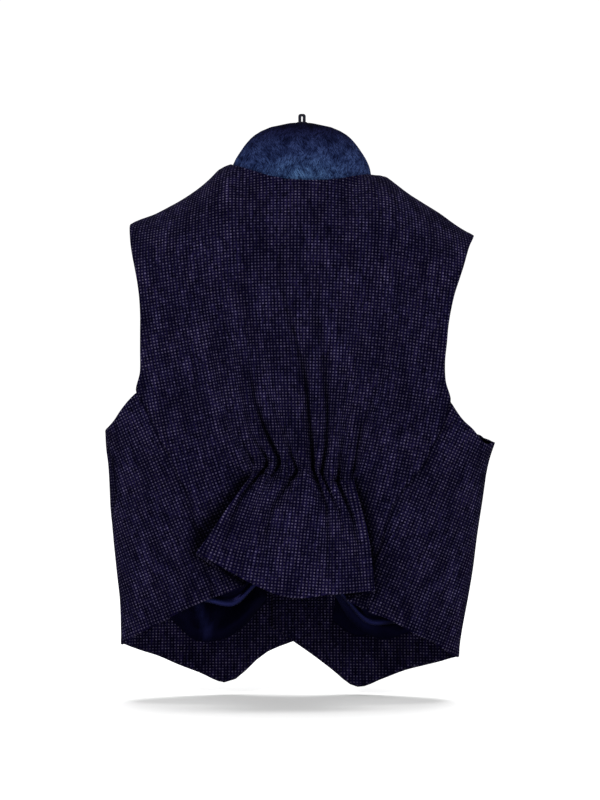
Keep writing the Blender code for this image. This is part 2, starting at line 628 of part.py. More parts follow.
def side_rows(side):
    """Share of the way from the armhole to the hem of each row that meets the side seam."""
    seam = edge_heights(side)[ROWS_YOKE:]
    return (seam - seam[0]) / (seam[-1] - seam[0])


def side_seam(side):
    """Height and turn of the side seam, row by row."""
    armpit, hem = armpit_and_hem(side)
    hem_end = hem["height"][0] if side == "left" else hem["height"][-1]
    heights = mix(armpit["height"][-1], hem_end, side_rows(side))
    return heights, smooth(SIDE_SEAM_TURN["height"], SIDE_SEAM_TURN[side], heights)


def side_back_grid(side):
    armpit, hem = armpit_and_hem(side)
    inner_z = edge_heights(side)[ROWS_YOKE:]
    inner_x = edge_x(side, inner_z)
    outer_z, outer_turn = side_seam(side)
    share = np.linspace(0.0, 1.0, COLUMNS_SIDE_PANEL + 1)
    rows = []
    for number, part in enumerate(side_rows(side)):
        turn = mix(turn_at(side, inner_x[number], inner_z[number]), outer_turn[number], share)
        height = mix(inner_z[number], outer_z[number], share)
        x = around(side, turn, height)[:, 0]
        bend_top = smooth(armpit["x"], armpit["height"], x) - mix(inner_z[0], outer_z[0], share)
        bend_hem = smooth(hem["x"], hem["height"], x) - mix(inner_z[-1], outer_z[-1], share)
        bend = bend_top * (1 - part)**3 + bend_hem * part**3
        bend[0] = bend[-1] = 0.0
        row = around(side, turn, height + bend)
        row[0, 0] = inner_x[number]
        row[0, 1] = back_depth(row[0, 0], row[0, 2])
        rows.append(row)
    return np.array(rows)


# ---------------------------------------------------------------- fronts

def lap_edge(side):
    """X of the straight edge of a front."""
    return CENTRE_FRONT - sign_of(side) * OVERLAP


def neck_edge(side, share):
    """X and height of the V neck, from the neck point down."""
    sign = sign_of(side)
    start = float(top_edge(np.array(sign * NECK_HALF_WIDTH)))
    height = mix(start, NECK_BOTTOM, share)
    table_height = mix(V_EDGE["height"][0], V_EDGE["height"][-1], share)
    reach = smooth(V_EDGE["height"], V_EDGE["from centre"], table_height)
    wider = abs(sign * NECK_HALF_WIDTH - CENTRE_FRONT) / V_EDGE["from centre"][0]
    crossing = (OVERLAP + V_EDGE["from centre"][-1]) * ease((share - V_CROSSES_FROM) / (1 - V_CROSSES_FROM))
    return CENTRE_FRONT + sign * (reach * mix(wider, 1.0, ease(share)) - crossing), height


def front_places(side):
    """Turn and height of each point of a front, from its armhole and side seam to its front edge."""
    upper = np.array(FRONT_SHARES)
    seam_z, seam_turn = side_seam(side)
    lower = side_rows(side)
    # outer edge
    arm_z = mix(TIP[side], seam_z[0], upper)
    arm_level = mix(FRONT_ARMHOLE["height"][-1], FRONT_ARMHOLE["height"][0], upper)
    arm_x = sign_of(side) * smooth(FRONT_ARMHOLE["height"], FRONT_ARMHOLE["out"], arm_level)
    out_z = np.concatenate([arm_z, seam_z])
    out_turn = np.concatenate([turn_at(side, arm_x, arm_z, True), seam_turn])
    # inner edge
    neck_x, neck_z = neck_edge(side, upper)
    hem_z = float(smooth(FRONT_HEM["x"], FRONT_HEM[side], lap_edge(side)))
    in_x = np.concatenate([neck_x, np.full(len(lower), lap_edge(side))])
    in_z = np.concatenate([neck_z, mix(NECK_BOTTOM, hem_z, lower)])
    share = np.concatenate([np.linspace(0.0, POINT_AT, COLUMNS_FRONT),
                            np.linspace(FACING_FROM[side], 1.0, COLUMNS_FACING + 1)])
    hem_pull = np.clip(lower / lower[-1 - ROWS_FACING], 0.0, 1.0) ** HEM_PULL
    near_underarm = np.concatenate([upper ** 3, (1 - lower) ** 2])
    sag = ROW_SAG * np.sqrt(share) * (1 - share)
    turns, heights = [], []
    for number in range(len(out_z)):
        turn = mix(out_turn[number], turn_at(side, in_x[number], in_z[number], True), share)
        height = mix(out_z[number], in_z[number], share ** (1 + ROW_BOW * near_underarm[number]))
        height -= sag * near_underarm[number] ** 2
        x = around(side, turn, height)[:, 0]
        if number < FRONT_ROWS:
            bend = (shoulder_only(x) - mix(out_z[0], in_z[0], share)) * (1 - upper[number])**2
        else:
            hem = smooth(FRONT_HEM["x"], FRONT_HEM[side], x)
            bend = (hem - mix(out_z[-1], in_z[-1], share)) * hem_pull[number - FRONT_ROWS]
        bend[0] = bend[-1] = 0.0
        turns.append(turn)
        heights.append(height + bend)
    return np.array(turns), np.array(heights)


def front_grid(side):
    return around(side, *front_places(side))


# ---------------------------------------------------------------- facings and linings

def facing_grid(side):
    """The front's own points below the neck, moved in, and drawn back from its edges."""
    grid = moved_in(front_grid(side), (CLOTH + FACING) / 2 + LAYER_GAP)[FRONT_ROWS:]
    return inset(grid[:, 1:], ("bottom", "right"), FACING_INSET)


def beside_facing(row, column):
    """Cells of the facing's grid that its band leaves bare."""
    rows_in_band = len(side_rows("left")) - 1 - ROWS_FACING
    return row < rows_in_band and column < COLUMNS_FRONT - 1


def lining_front_grid(side):
    """Over the facing's edge, from below the armhole to the satin's own lower edge."""
    turn, height = [places[FRONT_ROWS:-ROWS_FACING, :COLUMNS_FRONT + 1] for places in front_places(side)]
    x = around(side, turn, height)[:, :, 0]
    table = LINING_FRONT_HEM[side]
    lower_edge = smooth(table["x"], table["height"], x[-1])
    part = np.linspace(0.0, 1.0, len(turn))[:, None] ** 2
    height = height + (lower_edge - height[-1]) * part
    turn[:, 0] += LINING_FROM_SEAM
    height[0] -= LINING_BELOW_ARMHOLE
    return moved_in(around(side, turn, height), CLOTH / 2 + FACING + LINING / 2 + 2 * LAYER_GAP)


def lining_back_grid():
    rows = []
    seams = {side: side_seam(side) for side in ("left", "right")}
    for part in np.linspace(0.0, 1.0, LINING_ROWS + 1):
        level = mix(LINING_TOP["right"], LINING_LEVEL, part)
        left, right = [float(smooth(*seams[side], level)) - LINING_FROM_SEAM for side in ("left", "right")]
        turn = np.linspace(-left, right, LINING_COLUMNS + 1)
        x = around("right", turn, level)[:, 0]
        top = mix(LINING_TOP["left"], LINING_TOP["right"], (turn + left) / (left + right))
        height = mix(top, smooth(LINING_BACK_HEM["x"], LINING_BACK_HEM["height"], x), part)
        rows.append(around("right", turn, height))
    grid = np.array(rows)
    slack = smooth(LINING_BACK_SLACK["x"], LINING_BACK_SLACK["in"], grid[:, :, 0])
    return moved_in(grid, slack[:, :, None])


# ---------------------------------------------------------------- form, stud and buttons

def ring(radius_x, radius_y, height, sides, middle=(0.0, 0.0)):
    turn = np.arange(sides) * 2 * math.pi / sides
    return np.stack([middle[0] + radius_x * np.cos(turn), middle[1] + radius_y * np.sin(turn),
                     np.full(sides, float(height))], axis=1)


def loft(name, rings, finish):
    """A closed solid through rings of equal point number, capped at both ends."""
    sides = len(rings[0])
    points = np.concatenate(rings) * MM
    faces = []
    for level in range(len(rings) - 1):
        for side in range(sides):
            here, there = level * sides + side, level * sides + (side + 1) % sides
            faces.append([here, there, there + sides, here + sides])
    faces.append(list(range(sides))[::-1])
    faces.append(list(range((len(rings) - 1) * sides, len(rings) * sides)))
    return add_mesh(name, points, faces, finish)


def bust_form(finish):
    heights = sorted(set(FORM["height"]) | set(FORM_EXTRA_HEIGHTS))
    rings = []
    for height in heights:
        points = ring(smooth(FORM["height"], FORM["wide"], height), smooth(FORM["height"], FORM["deep"], height),
                      height, FORM_SIDES, (FORM_MIDDLE, 0.0))
        tilted = ease((height - FORM_TILTS_FROM) / (FORM_TILTED_AT - FORM_TILTS_FROM))
        points[:, 2] -= points[:, 0] * FORM_TILT * tilted
        rings.append(points)
    return loft("bust_form", rings, finish)


def round_ended(half_width, low, high, turns=7):
    """Outline of an upright slot with a round top and a round bottom, as (x, z)."""
    turn = np.linspace(0.0, math.pi, turns)
    top = np.stack([half_width * np.cos(turn), high - half_width + half_width * np.sin(turn)], axis=1)
    bottom = np.stack([-half_width * np.cos(turn), low + half_width - half_width * np.sin(turn)], axis=1)
    return np.concatenate([top, bottom])


def upright(name, outline, half_depth, finish):
    """An outline in X and Z, given its thickness along Y."""
    rings = [np.stack([outline[:, 0], np.full(len(outline), depth), outline[:, 1]], axis=1)
             for depth in (half_depth, -half_depth)]
    return loft(name, rings, finish)


def hang_stud(finish):
    """A flat loop with an upright eye, fused to a round flange on the form's top."""
    corner, middle = LOOP_CORNER
    half = [(LOOP_HALF_WIDTH, LOOP_BOTTOM - LOOP_SUNK), (LOOP_HALF_WIDTH, LOOP_TOP - corner),
            (LOOP_HALF_WIDTH - middle, LOOP_TOP - middle), (LOOP_HALF_WIDTH - corner, LOOP_TOP)]
    loop = np.array(half + [(-x, z) for x, z in reversed(half)])
    stud = loft("hang_stud", [ring(FLANGE_RADIUS, FLANGE_RADIUS, STUD_BOTTOM, FLANGE_SIDES),
                              ring(FLANGE_RADIUS - FLANGE_BEVEL, FLANGE_RADIUS - FLANGE_BEVEL, LOOP_BOTTOM,
                                   FLANGE_SIDES)], finish)
    plate = upright("loop_guide", loop, LOOP_HALF_DEPTH, finish)
    slot = round_ended(EYE_HALF_WIDTH, -EYE_HALF_HEIGHT, EYE_HALF_HEIGHT)
    eye = upright("eye_guide", slot, EYE_REACH, finish)
    for guide, operation in ((plate, "UNION"), (eye, "DIFFERENCE")):
        guide.hide_render = True
        guide.display_type = "WIRE"
        step = stud.modifiers.new(operation.lower(), "BOOLEAN")
        step.object = guide
        step.operation = operation
    return stud


def button(number, height, finish):
    """A round button with a raised rim, on the outer front and along its slope."""
    turn = turn_at("left", CENTRE_FRONT, height, True)
    turns = turn + np.array((-BUTTON_SPAN["turn"], BUTTON_SPAN["turn"]))
    heights = height + np.array((-BUTTON_SPAN["height"], BUTTON_SPAN["height"]))
    beside = around("left", turns, np.full(2, float(height)))
    upright_pair = around("left", np.full(2, float(turn)), heights)
    across = beside[0] - beside[1]
    up = upright_pair[1] - upright_pair[0]
    across, up = across / np.linalg.norm(across), up / np.linalg.norm(up)
    out = np.cross(up, across)
    out = out * np.sign(out[1])
    seat = around("left", np.array(turn), np.array(float(height))) + out * (CLOTH / 2 + BUTTON_CLEAR)
    inside = BUTTON_RADIUS - BUTTON_RIM
    profile = ((BUTTON_RADIUS - BUTTON_BEVEL, 0.0), (BUTTON_RADIUS, BUTTON_BEVEL),
               (BUTTON_RADIUS, BUTTON_THICK - BUTTON_BEVEL), (BUTTON_RADIUS - BUTTON_BEVEL, BUTTON_THICK),
               (inside, BUTTON_THICK), (inside - BUTTON_BEVEL, BUTTON_THICK - BUTTON_DISH))
    rings = []
    for radius, stands in profile:
        flat = ring(radius, radius, 0.0, BUTTON_SIDES)
        rings.append(seat + flat[:, :1] * across + flat[:, 1:2] * up + out * stands)
    return loft(f"button_{number}", rings, finish)


def build():
    clear_scene()
    suiting = material("suiting", (0.018, 0.016, 0.045), 0.85)
    satin = material("satin", (0.008, 0.010, 0.045), 0.32)
    flock = material("flock", (0.015, 0.03, 0.09), 0.95)
    metal = material("dark metal", (0.05, 0.05, 0.06), 0.3, 1.0)
    horn = material("horn", (0.01, 0.01, 0.018), 0.35)

    panels = {"back_centre": back_centre_grid()}
    for side in ("left", "right"):
        panels[f"back_side_{side}"] = side_back_grid(side)
        panels[f"front_{side}"] = front_grid(side)
    normals = shared_normals(panels)
    seams = {"back_centre": ("top", "left", "right"), "back_side": ("left", "right"),
             "front": ("top", "left")}
    for name, grid in panels.items():
        kind = name.removesuffix("_left").removesuffix("_right")
        wall(name, grid, CLOTH, suiting, seams[kind], normal=normals[name])
    for side in ("left", "right"):
        wall(f"facing_{side}", facing_grid(side), FACING, suiting, left_out=beside_facing)
        wall(f"lining_front_{side}", lining_front_grid(side), LINING, satin)
    wall("lining_back", lining_back_grid(), LINING, satin)
    for number, height in enumerate(BUTTON_HEIGHTS, 1):
        button(number, height, horn)
    bust_form(flock)
    hang_stud(metal)


build()
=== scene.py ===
"""Looks of the tailored waistcoat and its bust form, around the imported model.

Lengths in the tables and grids are in millimetres. A grid's points carry x, y, z and then
the place in the flat cloth, u across and v up, so that the weave follows the cut.
"""
import math

import bmesh
import bpy
import numpy as np
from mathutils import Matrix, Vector


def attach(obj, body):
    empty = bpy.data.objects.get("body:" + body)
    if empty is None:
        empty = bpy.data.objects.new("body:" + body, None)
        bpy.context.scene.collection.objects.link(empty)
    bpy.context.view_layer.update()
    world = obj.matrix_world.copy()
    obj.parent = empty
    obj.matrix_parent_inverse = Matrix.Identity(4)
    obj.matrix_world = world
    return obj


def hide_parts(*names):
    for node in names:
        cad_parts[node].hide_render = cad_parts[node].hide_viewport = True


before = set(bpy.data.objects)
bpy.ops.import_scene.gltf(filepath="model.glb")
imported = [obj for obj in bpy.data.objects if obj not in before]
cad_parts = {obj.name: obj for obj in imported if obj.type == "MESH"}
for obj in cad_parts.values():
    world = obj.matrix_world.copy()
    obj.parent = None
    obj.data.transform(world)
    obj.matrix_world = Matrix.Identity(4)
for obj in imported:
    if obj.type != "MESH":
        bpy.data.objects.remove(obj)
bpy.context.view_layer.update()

MM = 0.001

# Cloth
CLOTH = 1.4                 # wall of the suiting, interlining included
FACING = 1.2                # wall of the facings
LINING = 1.0                # wall of the satin
LAYER_GAP = 0.4             # between two pieces that lie on each other

# Rows of the back, from the top edge through the underarm and the waist down to the hem
ROWS_YOKE = 12
YOKE_EASE = 1.5             # rows are closer together at the shoulder
RIB_ROWS = (0.0, 0.2, 0.4, 0.6, 0.78, 0.9)              # from the underarm to the waist
SKIRT_ROWS = (0.0, 0.05, 0.12, 0.21, 0.34, 0.5, 0.667, 0.778, 0.889, 1.0)
WAIST_ROW = ROWS_YOKE + len(RIB_ROWS)

# Columns of the centre back: beside the gathers, and between two folds
COLUMNS_SIDE = 8
COLUMNS_FOLD = 3
COLUMNS_SIDE_PANEL = 6
COLUMNS_FRONT = 8           # up to the facing

# The garment's section at each height: where its sides are and how deep it is
SECTION = {
    "height": (-640, -600, -560, -520, -480, -440, -400, -360, -300, -230, -150, -100, -60),
    "left":   (-206, -208, -209, -213, -217, -220, -222, -226, -226, -226, -226, -226, -226),
    "right":  (178, 182, 189, 196, 201, 207, 213, 224, 226, 226, 226, 226, 226),
    "behind": (50, 51, 53, 54, 56, 58, 59, 62, 67, 70, 69, 64, 58),
    "ahead":  (48, 50, 53, 56, 59, 62, 65, 71, 79, 78, 72, 68, 64),
}

# Shoulders run from neck point to tip, and the neckline between the neck points
SHOULDER_LEFT = {
    "x":      (-196.7, -186, -172.5, -154, -135.7, -117.3, -104, -95, -85.1),
    "height": (-121.8, -116, -111.4, -102.2, -91.9, -79.2, -67.6, -58.6, -53.9),
}
SHOULDER_RIGHT = {
    "x":      (85.1, 95, 104, 122, 140, 159, 177, 196.6),
    "height": (-65.4, -66.6, -72.5, -86.1, -97.6, -109.5, -122.6, -134.4),
}
NECKLINE = {
    "x":      (-85.1, -75, -56.6, -36, -13.5, 9, 31.5, 54.3, 77, 85.1),
    "height": (-53.9, -57, -63.8, -70.7, -75, -76.1, -75.2, -71.2, -66, -65.4),
}
NECK_HALF_WIDTH = 85.1
NECK_DEPTH = 49.8           # how far behind the neck points the neckline reaches
SHOULDER_ROUND = 75         # height over which the shoulder rounds to the full depth
NECK_BLEND = 22             # width over which the neck's stand turns into the shoulder's round

# Edges of the centre back: the armhole, then the princess seam
BACK_EDGE_LEFT = {
    "height": (-544.4, -521.6, -500, -472, -447.4, -431.7, -418, -401.3, -382.5, -367.9,
               -353.1, -341.1, -324, -315.1, -296, -224, -196, -169, -150, -130.7, -121.8),
    "x":      (-100.1, -104.6, -112.4, -119.2, -123.7, -129.6, -135, -142.4, -150.9, -160.5,
               -167, -171.7, -181, -186.7, -182.2, -181.8, -184.3, -189.3, -193.3, -195.8, -196.7),
}
BACK_EDGE_RIGHT = {
    "height": (-560, -514, -480.3, -449.9, -432, -413, -390.5, -378.2, -365.4, -352.3,
               -343.3, -325.3, -314, -305, -287, -269, -242, -205, -187, -168, -149, -134.4),
    "x":      (74.1, 80.8, 89.8, 98.8, 107.8, 123.6, 140.3, 145.2, 152, 158.5,
               162.3, 166.9, 163.5, 161.3, 159.5, 161.3, 163.5, 170.6, 176.5, 183, 189, 196.6),
}
UNDERARM_SEAM = {"left": -315.1, "right": -325.3}       # where the princess seam meets the armhole
TIP = {"left": -121.8, "right": -134.4}
WAIST = {
    "x":      (-142, -75, -55, -47, -40, -26, -6, 11, 21, 40, 56, 75, 130),
    "height": (-401.3, -403, -401, -397, -396, -396, -402.5, -399, -405, -414, -412, -411, -408),
}

# Folds drawn in by the elastic, left to right: where each crease runs and how deep it is
FOLD_NAMES = ("yoke", "blade", "chest", "rib", "waist", "flare", "hem",
                "blade_in", "chest_in", "rib_in", "waist_in", "flare_in", "hem_in")
FOLDS = [dict(zip(FOLD_NAMES, row)) for row in (
    (-112, -109, -96, -83, -55, -74, -108,  0.0, 0.6, 1.8, 3.6, 0.0, 0.0),
    (-85, -84, -72, -61, -40, -70, -92,     0.0, 0.0, 0.8, 3.0, 2.2, 0.4),
    (-62, -64, -57, -45, -26, -53, -70,     0.0, 1.2, 2.8, 3.6, 0.8, 0.3),
    (-38, -46, -36, -24, -6, -35, -46,      0.0, 0.0, 1.4, 3.6, 2.0, 0.4),
    (-14, -22, 3, 8.5, 12.5, 28, 28,        1.4, 3.0, 3.4, 3.8, 2.4, 0.3),
    (20, 14, 26, 28.5, 22, 43, 47,          0.0, 1.2, 2.8, 3.4, 0.6, 0.0),
    (85, 62, 52, 45, 40, 58, 66,            0.0, 0.0, 1.0, 3.4, 2.2, 0.8),
    (114, 108, 95, 75, 56, 65, 74,          0.0, 0.6, 2.0, 3.6, 0.0, 0.0),
)]
FOLD_HEIGHTS = {"yoke": -110, "blade": -208, "chest": -300, "rib": -350}
FLARE_AT = 0.4              # the flare level, from the waist (0) to the hem (1)
CREASE_REACH = 6.0          # half-width of a crease
PUFF = 2.6                  # cloth between two creases stands out by this at the waist
PUFF_ABOVE = 34             # height above the waist over which it does
PUFF_BELOW = 0.45           # and share of the fan below it
PINCH = 3.0                 # the elastic draws the waist in by this
PINCH_REACH = 22
PINCH_BELOW = 0.2
PINCH_HALF_WIDTH = 115
PINCH_FADE = 50
FOLD_SETTLED = 0.12         # share of the fan over which its hidden folds reach their places

# Fan below the elastic: its outer edges and the hidden inner folds, and how far it stands out
FAN = {
    "level":      (0.0, 0.12, 0.25, 0.5, 0.75, 1.0),
    "left edge":  (-50.5, -60, -69.5, -85.5, -101, -116.5),
    "right edge": (54.5, 61, 65.5, 73, 77.5, 80),
    "left fold":  (-53, -54, -55.5, -58.5, -62.5, -66),
    "right fold": (56, 55.5, 55, 54, 52, 50),
    "middle out": (58.5, 65, 69, 76, 81.5, 85.5),
}
FAN_ROUND = 0.8             # how fully the fan rounds out between its edges
FAN_HEM = {
    "x":      (-116.5, -89, -69, -48, -27, -11, 4, 20, 35, 51, 80),
    "height": (-491, -507, -518, -528.5, -536.5, -541, -540.5, -538, -537, -536, -533.5),
}
HIDDEN_HEM = {"left": -533, "right": -548}
# The fold at each side of the fan, an S in plan: how far the cloth turns, and its hidden layer
FOLD_RADIUS = 1.9
FOLD_BELOW = {"level": (0.0, 0.05, 0.12, 0.21, 1.0), "turn": (80, 115, 150, 165, 165)}
FOLD_ABOVE = {"over waist": (0, 12, 30, 50, 300), "turn": (80, 50, 15, 0, 0),
              "hidden": (2.5, 5.5, 11, 16, 24)}
HIDDEN_LEAST = 2.5          # of the layer between the two bends
TURN_LEVEL = 0.3            # least share by which that layer runs level
FOLD_COLUMNS_ACROSS = 6
FOLD_FORMED = 80            # turn at which the columns have moved into the bends

# Side backs: armhole from the princess seam to the underarm, hem, and turn of the side seam
ARMPIT_LEFT = {"x": (-186.7, -194.9, -203.3, -209.3, -216.6, -225.3),
               "height": (-315.1, -323, -332.1, -341.2, -350.4, -358.5)}
ARMPIT_RIGHT = {"x": (166.9, 170.6, 177.7, 186.2, 199.4, 207.5, 213, 222.5),
                "height": (-325.3, -332, -341.1, -350.6, -361.5, -371, -374.5, -372)}
SIDE_HEM_LEFT = {"x": (-206.5, -190.8, -175.2, -160.3, -142.6, -128.2, -116.5, -100.1),
                 "height": (-603, -591.1, -582.3, -574.8, -561.3, -556.7, -553, -544.4)}
SIDE_HEM_RIGHT = {"x": (74.1, 83.3, 92, 108, 126.7, 148.8, 159.5, 172.9, 180.5),
                  "height": (-560, -565.1, -568.6, -573.5, -585.6, -596.2, -603.3, -613.8, -617.4)}
SIDE_SEAM_TURN = {"height": (-620, -480, -455, -425, -390, -350),
                  "left": (89, 88, 81, 73, 77, 88), "right": (86, 84, 83, 82, 83, 87)}

# Fronts
CENTRE_FRONT = -13
OVERLAP = 22                # each front passes the centre front by this
NECK_BOTTOM = -318
V_EDGE = {"from centre": (72, 66, 53, 38, 22), "height": (-54, -90, -165, -240, -318)}
V_CROSSES_FROM = 0.58       # share of the V below which the two edges draw together and cross
FRONT_ARMHOLE = {
    "height": (-371, -366.5, -361.5, -354.5, -342, -325, -305, -280, -240, -200, -160, -121.8),
    "out": (223, 214, 204, 190, 177, 169, 165.5, 164, 165.5, 171.5, 182, 196.7),
}
FRONT_HEM = {
    "x": (-206.5, -200.5, -183.3, -165.3, -147.1, -128.6, -110.1, -98.4, -90.3, -82.1, -72.7,
          -54, -35.2, -9.4, 9, 21.2, 40, 54.1, 64.6, 77.5, 86.8, 105.3, 123.8, 142.1, 160.2, 180.5),
    "left": (-603, -606.5, -614.3, -621.1, -630.1, -637.7, -645.3, -650.1, -653.3, -648.1, -640,
             -626, -615.6, -605.6, -598, -592, -584, -578, -572, -570, -570, -570, -570, -570,
             -570, -570),
    "right": (-570, -570, -570, -570, -570, -570, -570, -570, -570, -570, -575,
              -582, -589, -605.6, -617.5, -626.2, -640.1, -652.9, -658.6, -656.1, -652.3, -644.7,
              -637.1, -631.6, -625.9, -617.4),
}
FRONT_SHARES = (0.0, 0.04, 0.11, 0.2, 0.31, 0.43, 0.56, 0.68, 0.79, 0.88, 0.945)
FRONT_ROWS = len(FRONT_SHARES)      # from the shoulder to the underarm
ROW_BOW = 0.9               # how level the rows leave the underarm
ROW_SAG = 6.0               # how far they hang below it
LAP_LIFT = 1.9              # the outer front stands out, and the inner one in, by this
LAP_FADE = 60

# Facings and linings
FACING_INSET = 1.2          # from the front's own edge
POINT_AT = 0.691            # share of a front's width at which its hem comes to a point
FACING_FROM = {"left": 0.85, "right": 0.79}             # and at which its facing starts
ROWS_FACING = 3             # rows of the front that the facing takes along the hem
COLUMNS_FACING = 4          # and columns along the front edge
HEM_PULL = 1.6              # how fast the rows of a front take up the shape of its hem
LINING_TOP = {"left": -364, "right": -377}
LINING_LEVEL = -585         # height at which its side edges end
LINING_FROM_SEAM = 2.5      # degrees from the side seam
LINING_BELOW_ARMHOLE = 6
LINING_FRONT_HEM = {
    "left": {"x": (-206, -180, -159, -150, -131, -113.5, -105.4, -90, -67, -50, -40),
             "height": (-562, -563, -570, -581, -600, -607.5, -607.8, -601, -581, -568, -553)},
    "right": {"x": (34, 39, 56, 74, 85.5, 108.7, 131.9, 149, 180),
              "height": (-548, -558, -579, -598, -605, -600, -593, -589, -580)},
}
LINING_BACK_HEM = {
    "x":      (-206, -190, -150, -125, -105, -89, -69, -54, -38, 0, 30, 45, 60, 80, 98,
               115, 150, 180),
    "height": (-584, -574, -553, -548, -552, -557, -549, -533, -520, -512, -526, -548, -562, -577,
               -577, -570, -582, -598),
}
LINING_BACK_SLACK = {"x": (-200, -135, -85, 0, 80, 125, 200), "in": (2.5, 3.2, 8.6, 8.9, 8.6, 3.2, 2.5)}
LINING_COLUMNS = 18
LINING_ROWS = 8

# Buttons
BUTTON_DISH = 1.0           # hollow of the face
BUTTON_CLEAR = 0.5          # gap to the cloth

# Form: half-widths and half-depth at each height, about its own middle
FORM_MIDDLE = -1.4
FORM = {
    "height": (-5.5, -10.2, -19.4, -28.6, -37.8, -47, -57, -68, -77.5, -92, -104.5, -117, -137,
               -165, -210, -280, -340, -372, -388, -395),
    "wide":   (16, 36.5, 54, 63, 69.6, 75.3, 79.6, 82.2, 100.5, 122.5, 140, 153, 162,
               164, 162, 156, 149, 142, 128, 100),
    "deep":   (11, 22, 33, 39, 42.4, 44.2, 45, 45.2, 45.6, 47, 48.5, 50, 53.5,
               57.5, 60, 58, 50, 44, 35, 24),
}
FORM_TILT = 0.04            # its left shoulder stands higher than its right one
FORM_TILTS_FROM = -50
FORM_TILTED_AT = -85


# ---------------------------------------------------------------- curves and base surfaces

def smooth(knots, values, at):
    """Cubic through the values, level at each local peak, so that it never overshoots."""
    knots = np.asarray(knots, float)
    values = np.asarray(values, float)
    if knots[0] > knots[-1]:
        knots, values = knots[::-1], values[::-1]
    step = np.diff(knots)
    rise = np.diff(values) / step
    slope = np.zeros(len(knots))
    slope[0], slope[-1] = rise[0], rise[-1]
    before, after = rise[:-1], rise[1:]
    weight_a, weight_b = 2 * step[1:] + step[:-1], step[1:] + 2 * step[:-1]
    same_way = before * after > 0
    safe_before = np.where(same_way, before, 1.0)
    safe_after = np.where(same_way, after, 1.0)
    mean = (weight_a + weight_b) / (weight_a / safe_before + weight_b / safe_after)
    slope[1:-1] = np.where(same_way, mean, 0.0)
    at = np.clip(np.asarray(at, float), knots[0], knots[-1])
    cell = np.clip(np.searchsorted(knots, at) - 1, 0, len(step) - 1)
    width = step[cell]
    part = (at - knots[cell]) / width
    return cubic(part, width, values[cell], values[cell + 1], slope[cell], slope[cell + 1])


def cubic(part, width, start, end, leaves, arrives):
    """Hermite curve between two values over a width, with the slopes at both ends."""
    return ((2 * part**3 - 3 * part**2 + 1) * start + (part**3 - 2 * part**2 + part) * width * leaves
            + (3 * part**2 - 2 * part**3) * end + (part**3 - part**2) * width * arrives)


def ease(value):
    value = np.clip(value, 0.0, 1.0)
    return value * value * (3 - 2 * value)


def mix(start, end, part):
    return start + (end - start) * part


def section(column, height):
    return smooth(SECTION["height"], SECTION[column], height)


def middle_of(height):
    return (section("left", height) + section("right", height)) / 2


def half_of(height):
    return (section("right", height) - section("left", height)) / 2


def crown(x, height):
    """Share of the full depth that the section has at x."""
    across = (x - middle_of(height)) / half_of(height)
    return np.sqrt(np.maximum(1 - across**2, 0.0))


def top_edge(x):
    """Height of the shoulders and the neckline at x."""
    left = smooth(SHOULDER_LEFT["x"], SHOULDER_LEFT["height"], x)
    right = smooth(SHOULDER_RIGHT["x"], SHOULDER_RIGHT["height"], x)
    neck = smooth(NECKLINE["x"], NECKLINE["height"], x)
    return np.where(x < -NECK_HALF_WIDTH, left, np.where(x > NECK_HALF_WIDTH, right, neck))


def shoulder_only(x):
    """The same for the fronts, which have no neckline there: level with the neck points."""
    left = smooth(SHOULDER_LEFT["x"], SHOULDER_LEFT["height"], np.minimum(x, -NECK_HALF_WIDTH))
    right = smooth(SHOULDER_RIGHT["x"], SHOULDER_RIGHT["height"], np.maximum(x, NECK_HALF_WIDTH))
    return np.where(x < 0, left, right)


def rounding(below, stands):
    """Growth from an edge to the full depth: round at a shoulder, slow at the neck."""
    part = np.clip(below / SHOULDER_ROUND, 0.0, 1.0)
    return mix(np.sqrt(1 - (1 - part)**2), np.sin(part * math.pi / 2), stands)


def back_depth(x, height):
    """Y of the smooth back, without folds."""
    full = section("behind", height) * crown(x, height)
    inside = np.clip(1 - (x / NECK_HALF_WIDTH)**2, 0.0, 1.0)
    edge = NECK_DEPTH * np.sqrt(inside)
    stands = ease((NECK_HALF_WIDTH - np.abs(x)) / NECK_BLEND)
    return -mix(edge, full, rounding(top_edge(x) - height, stands))


# ---------------------------------------------------------------- walls

def normals_of(grid):
    along = np.gradient(grid, axis=0)
    across = np.gradient(grid, axis=1)
    normal = np.cross(along, across)
    return normal / np.linalg.norm(normal, axis=2, keepdims=True)


def inset(grid, sides, distance):
    """Draws the named edges of a grid back."""
    drawn = grid.copy()
    for side in sides:
        edge, inner = {"top": (0, 1), "bottom": (-1, -2), "left": (0, 1), "right": (-1, -2)}[side]
        in_rows = side in ("top", "bottom")
        line, turned = (drawn, grid) if in_rows else (drawn.swapaxes(0, 1), grid.swapaxes(0, 1))
        away = turned[inner] - turned[edge]
        line[edge] += away / np.linalg.norm(away, axis=1, keepdims=True) * distance
    return drawn


def outward(grid):
    """Normals of a grid that point away from the garment's upright axis."""
    normal = normals_of(grid)
    away = grid * (1.0, 1.0, 0.0)
    return normal if np.sum(normal * away) > 0 else -normal


def moved_in(grid, distance):
    """What lies inside a panel: the panel's points, moved in along its normals."""
    return grid - outward(grid) * distance


# ---------------------------------------------------------------- centre back

def edge_x(side, height):
    table = BACK_EDGE_LEFT if side == "left" else BACK_EDGE_RIGHT
    return smooth(table["height"], table["x"], height)


def edge_heights(side):
    """Height of each row of the back at its left or right edge."""
    yoke = (np.arange(ROWS_YOKE) / ROWS_YOKE) ** YOKE_EASE
    waist = WAIST["height"][0] if side == "left" else WAIST["height"][-1]
    return np.concatenate([
        mix(TIP[side], UNDERARM_SEAM[side], yoke),
        mix(UNDERARM_SEAM[side], waist, np.array(RIB_ROWS)),
        mix(waist, hem_of_seam(side), np.array(SKIRT_ROWS))])


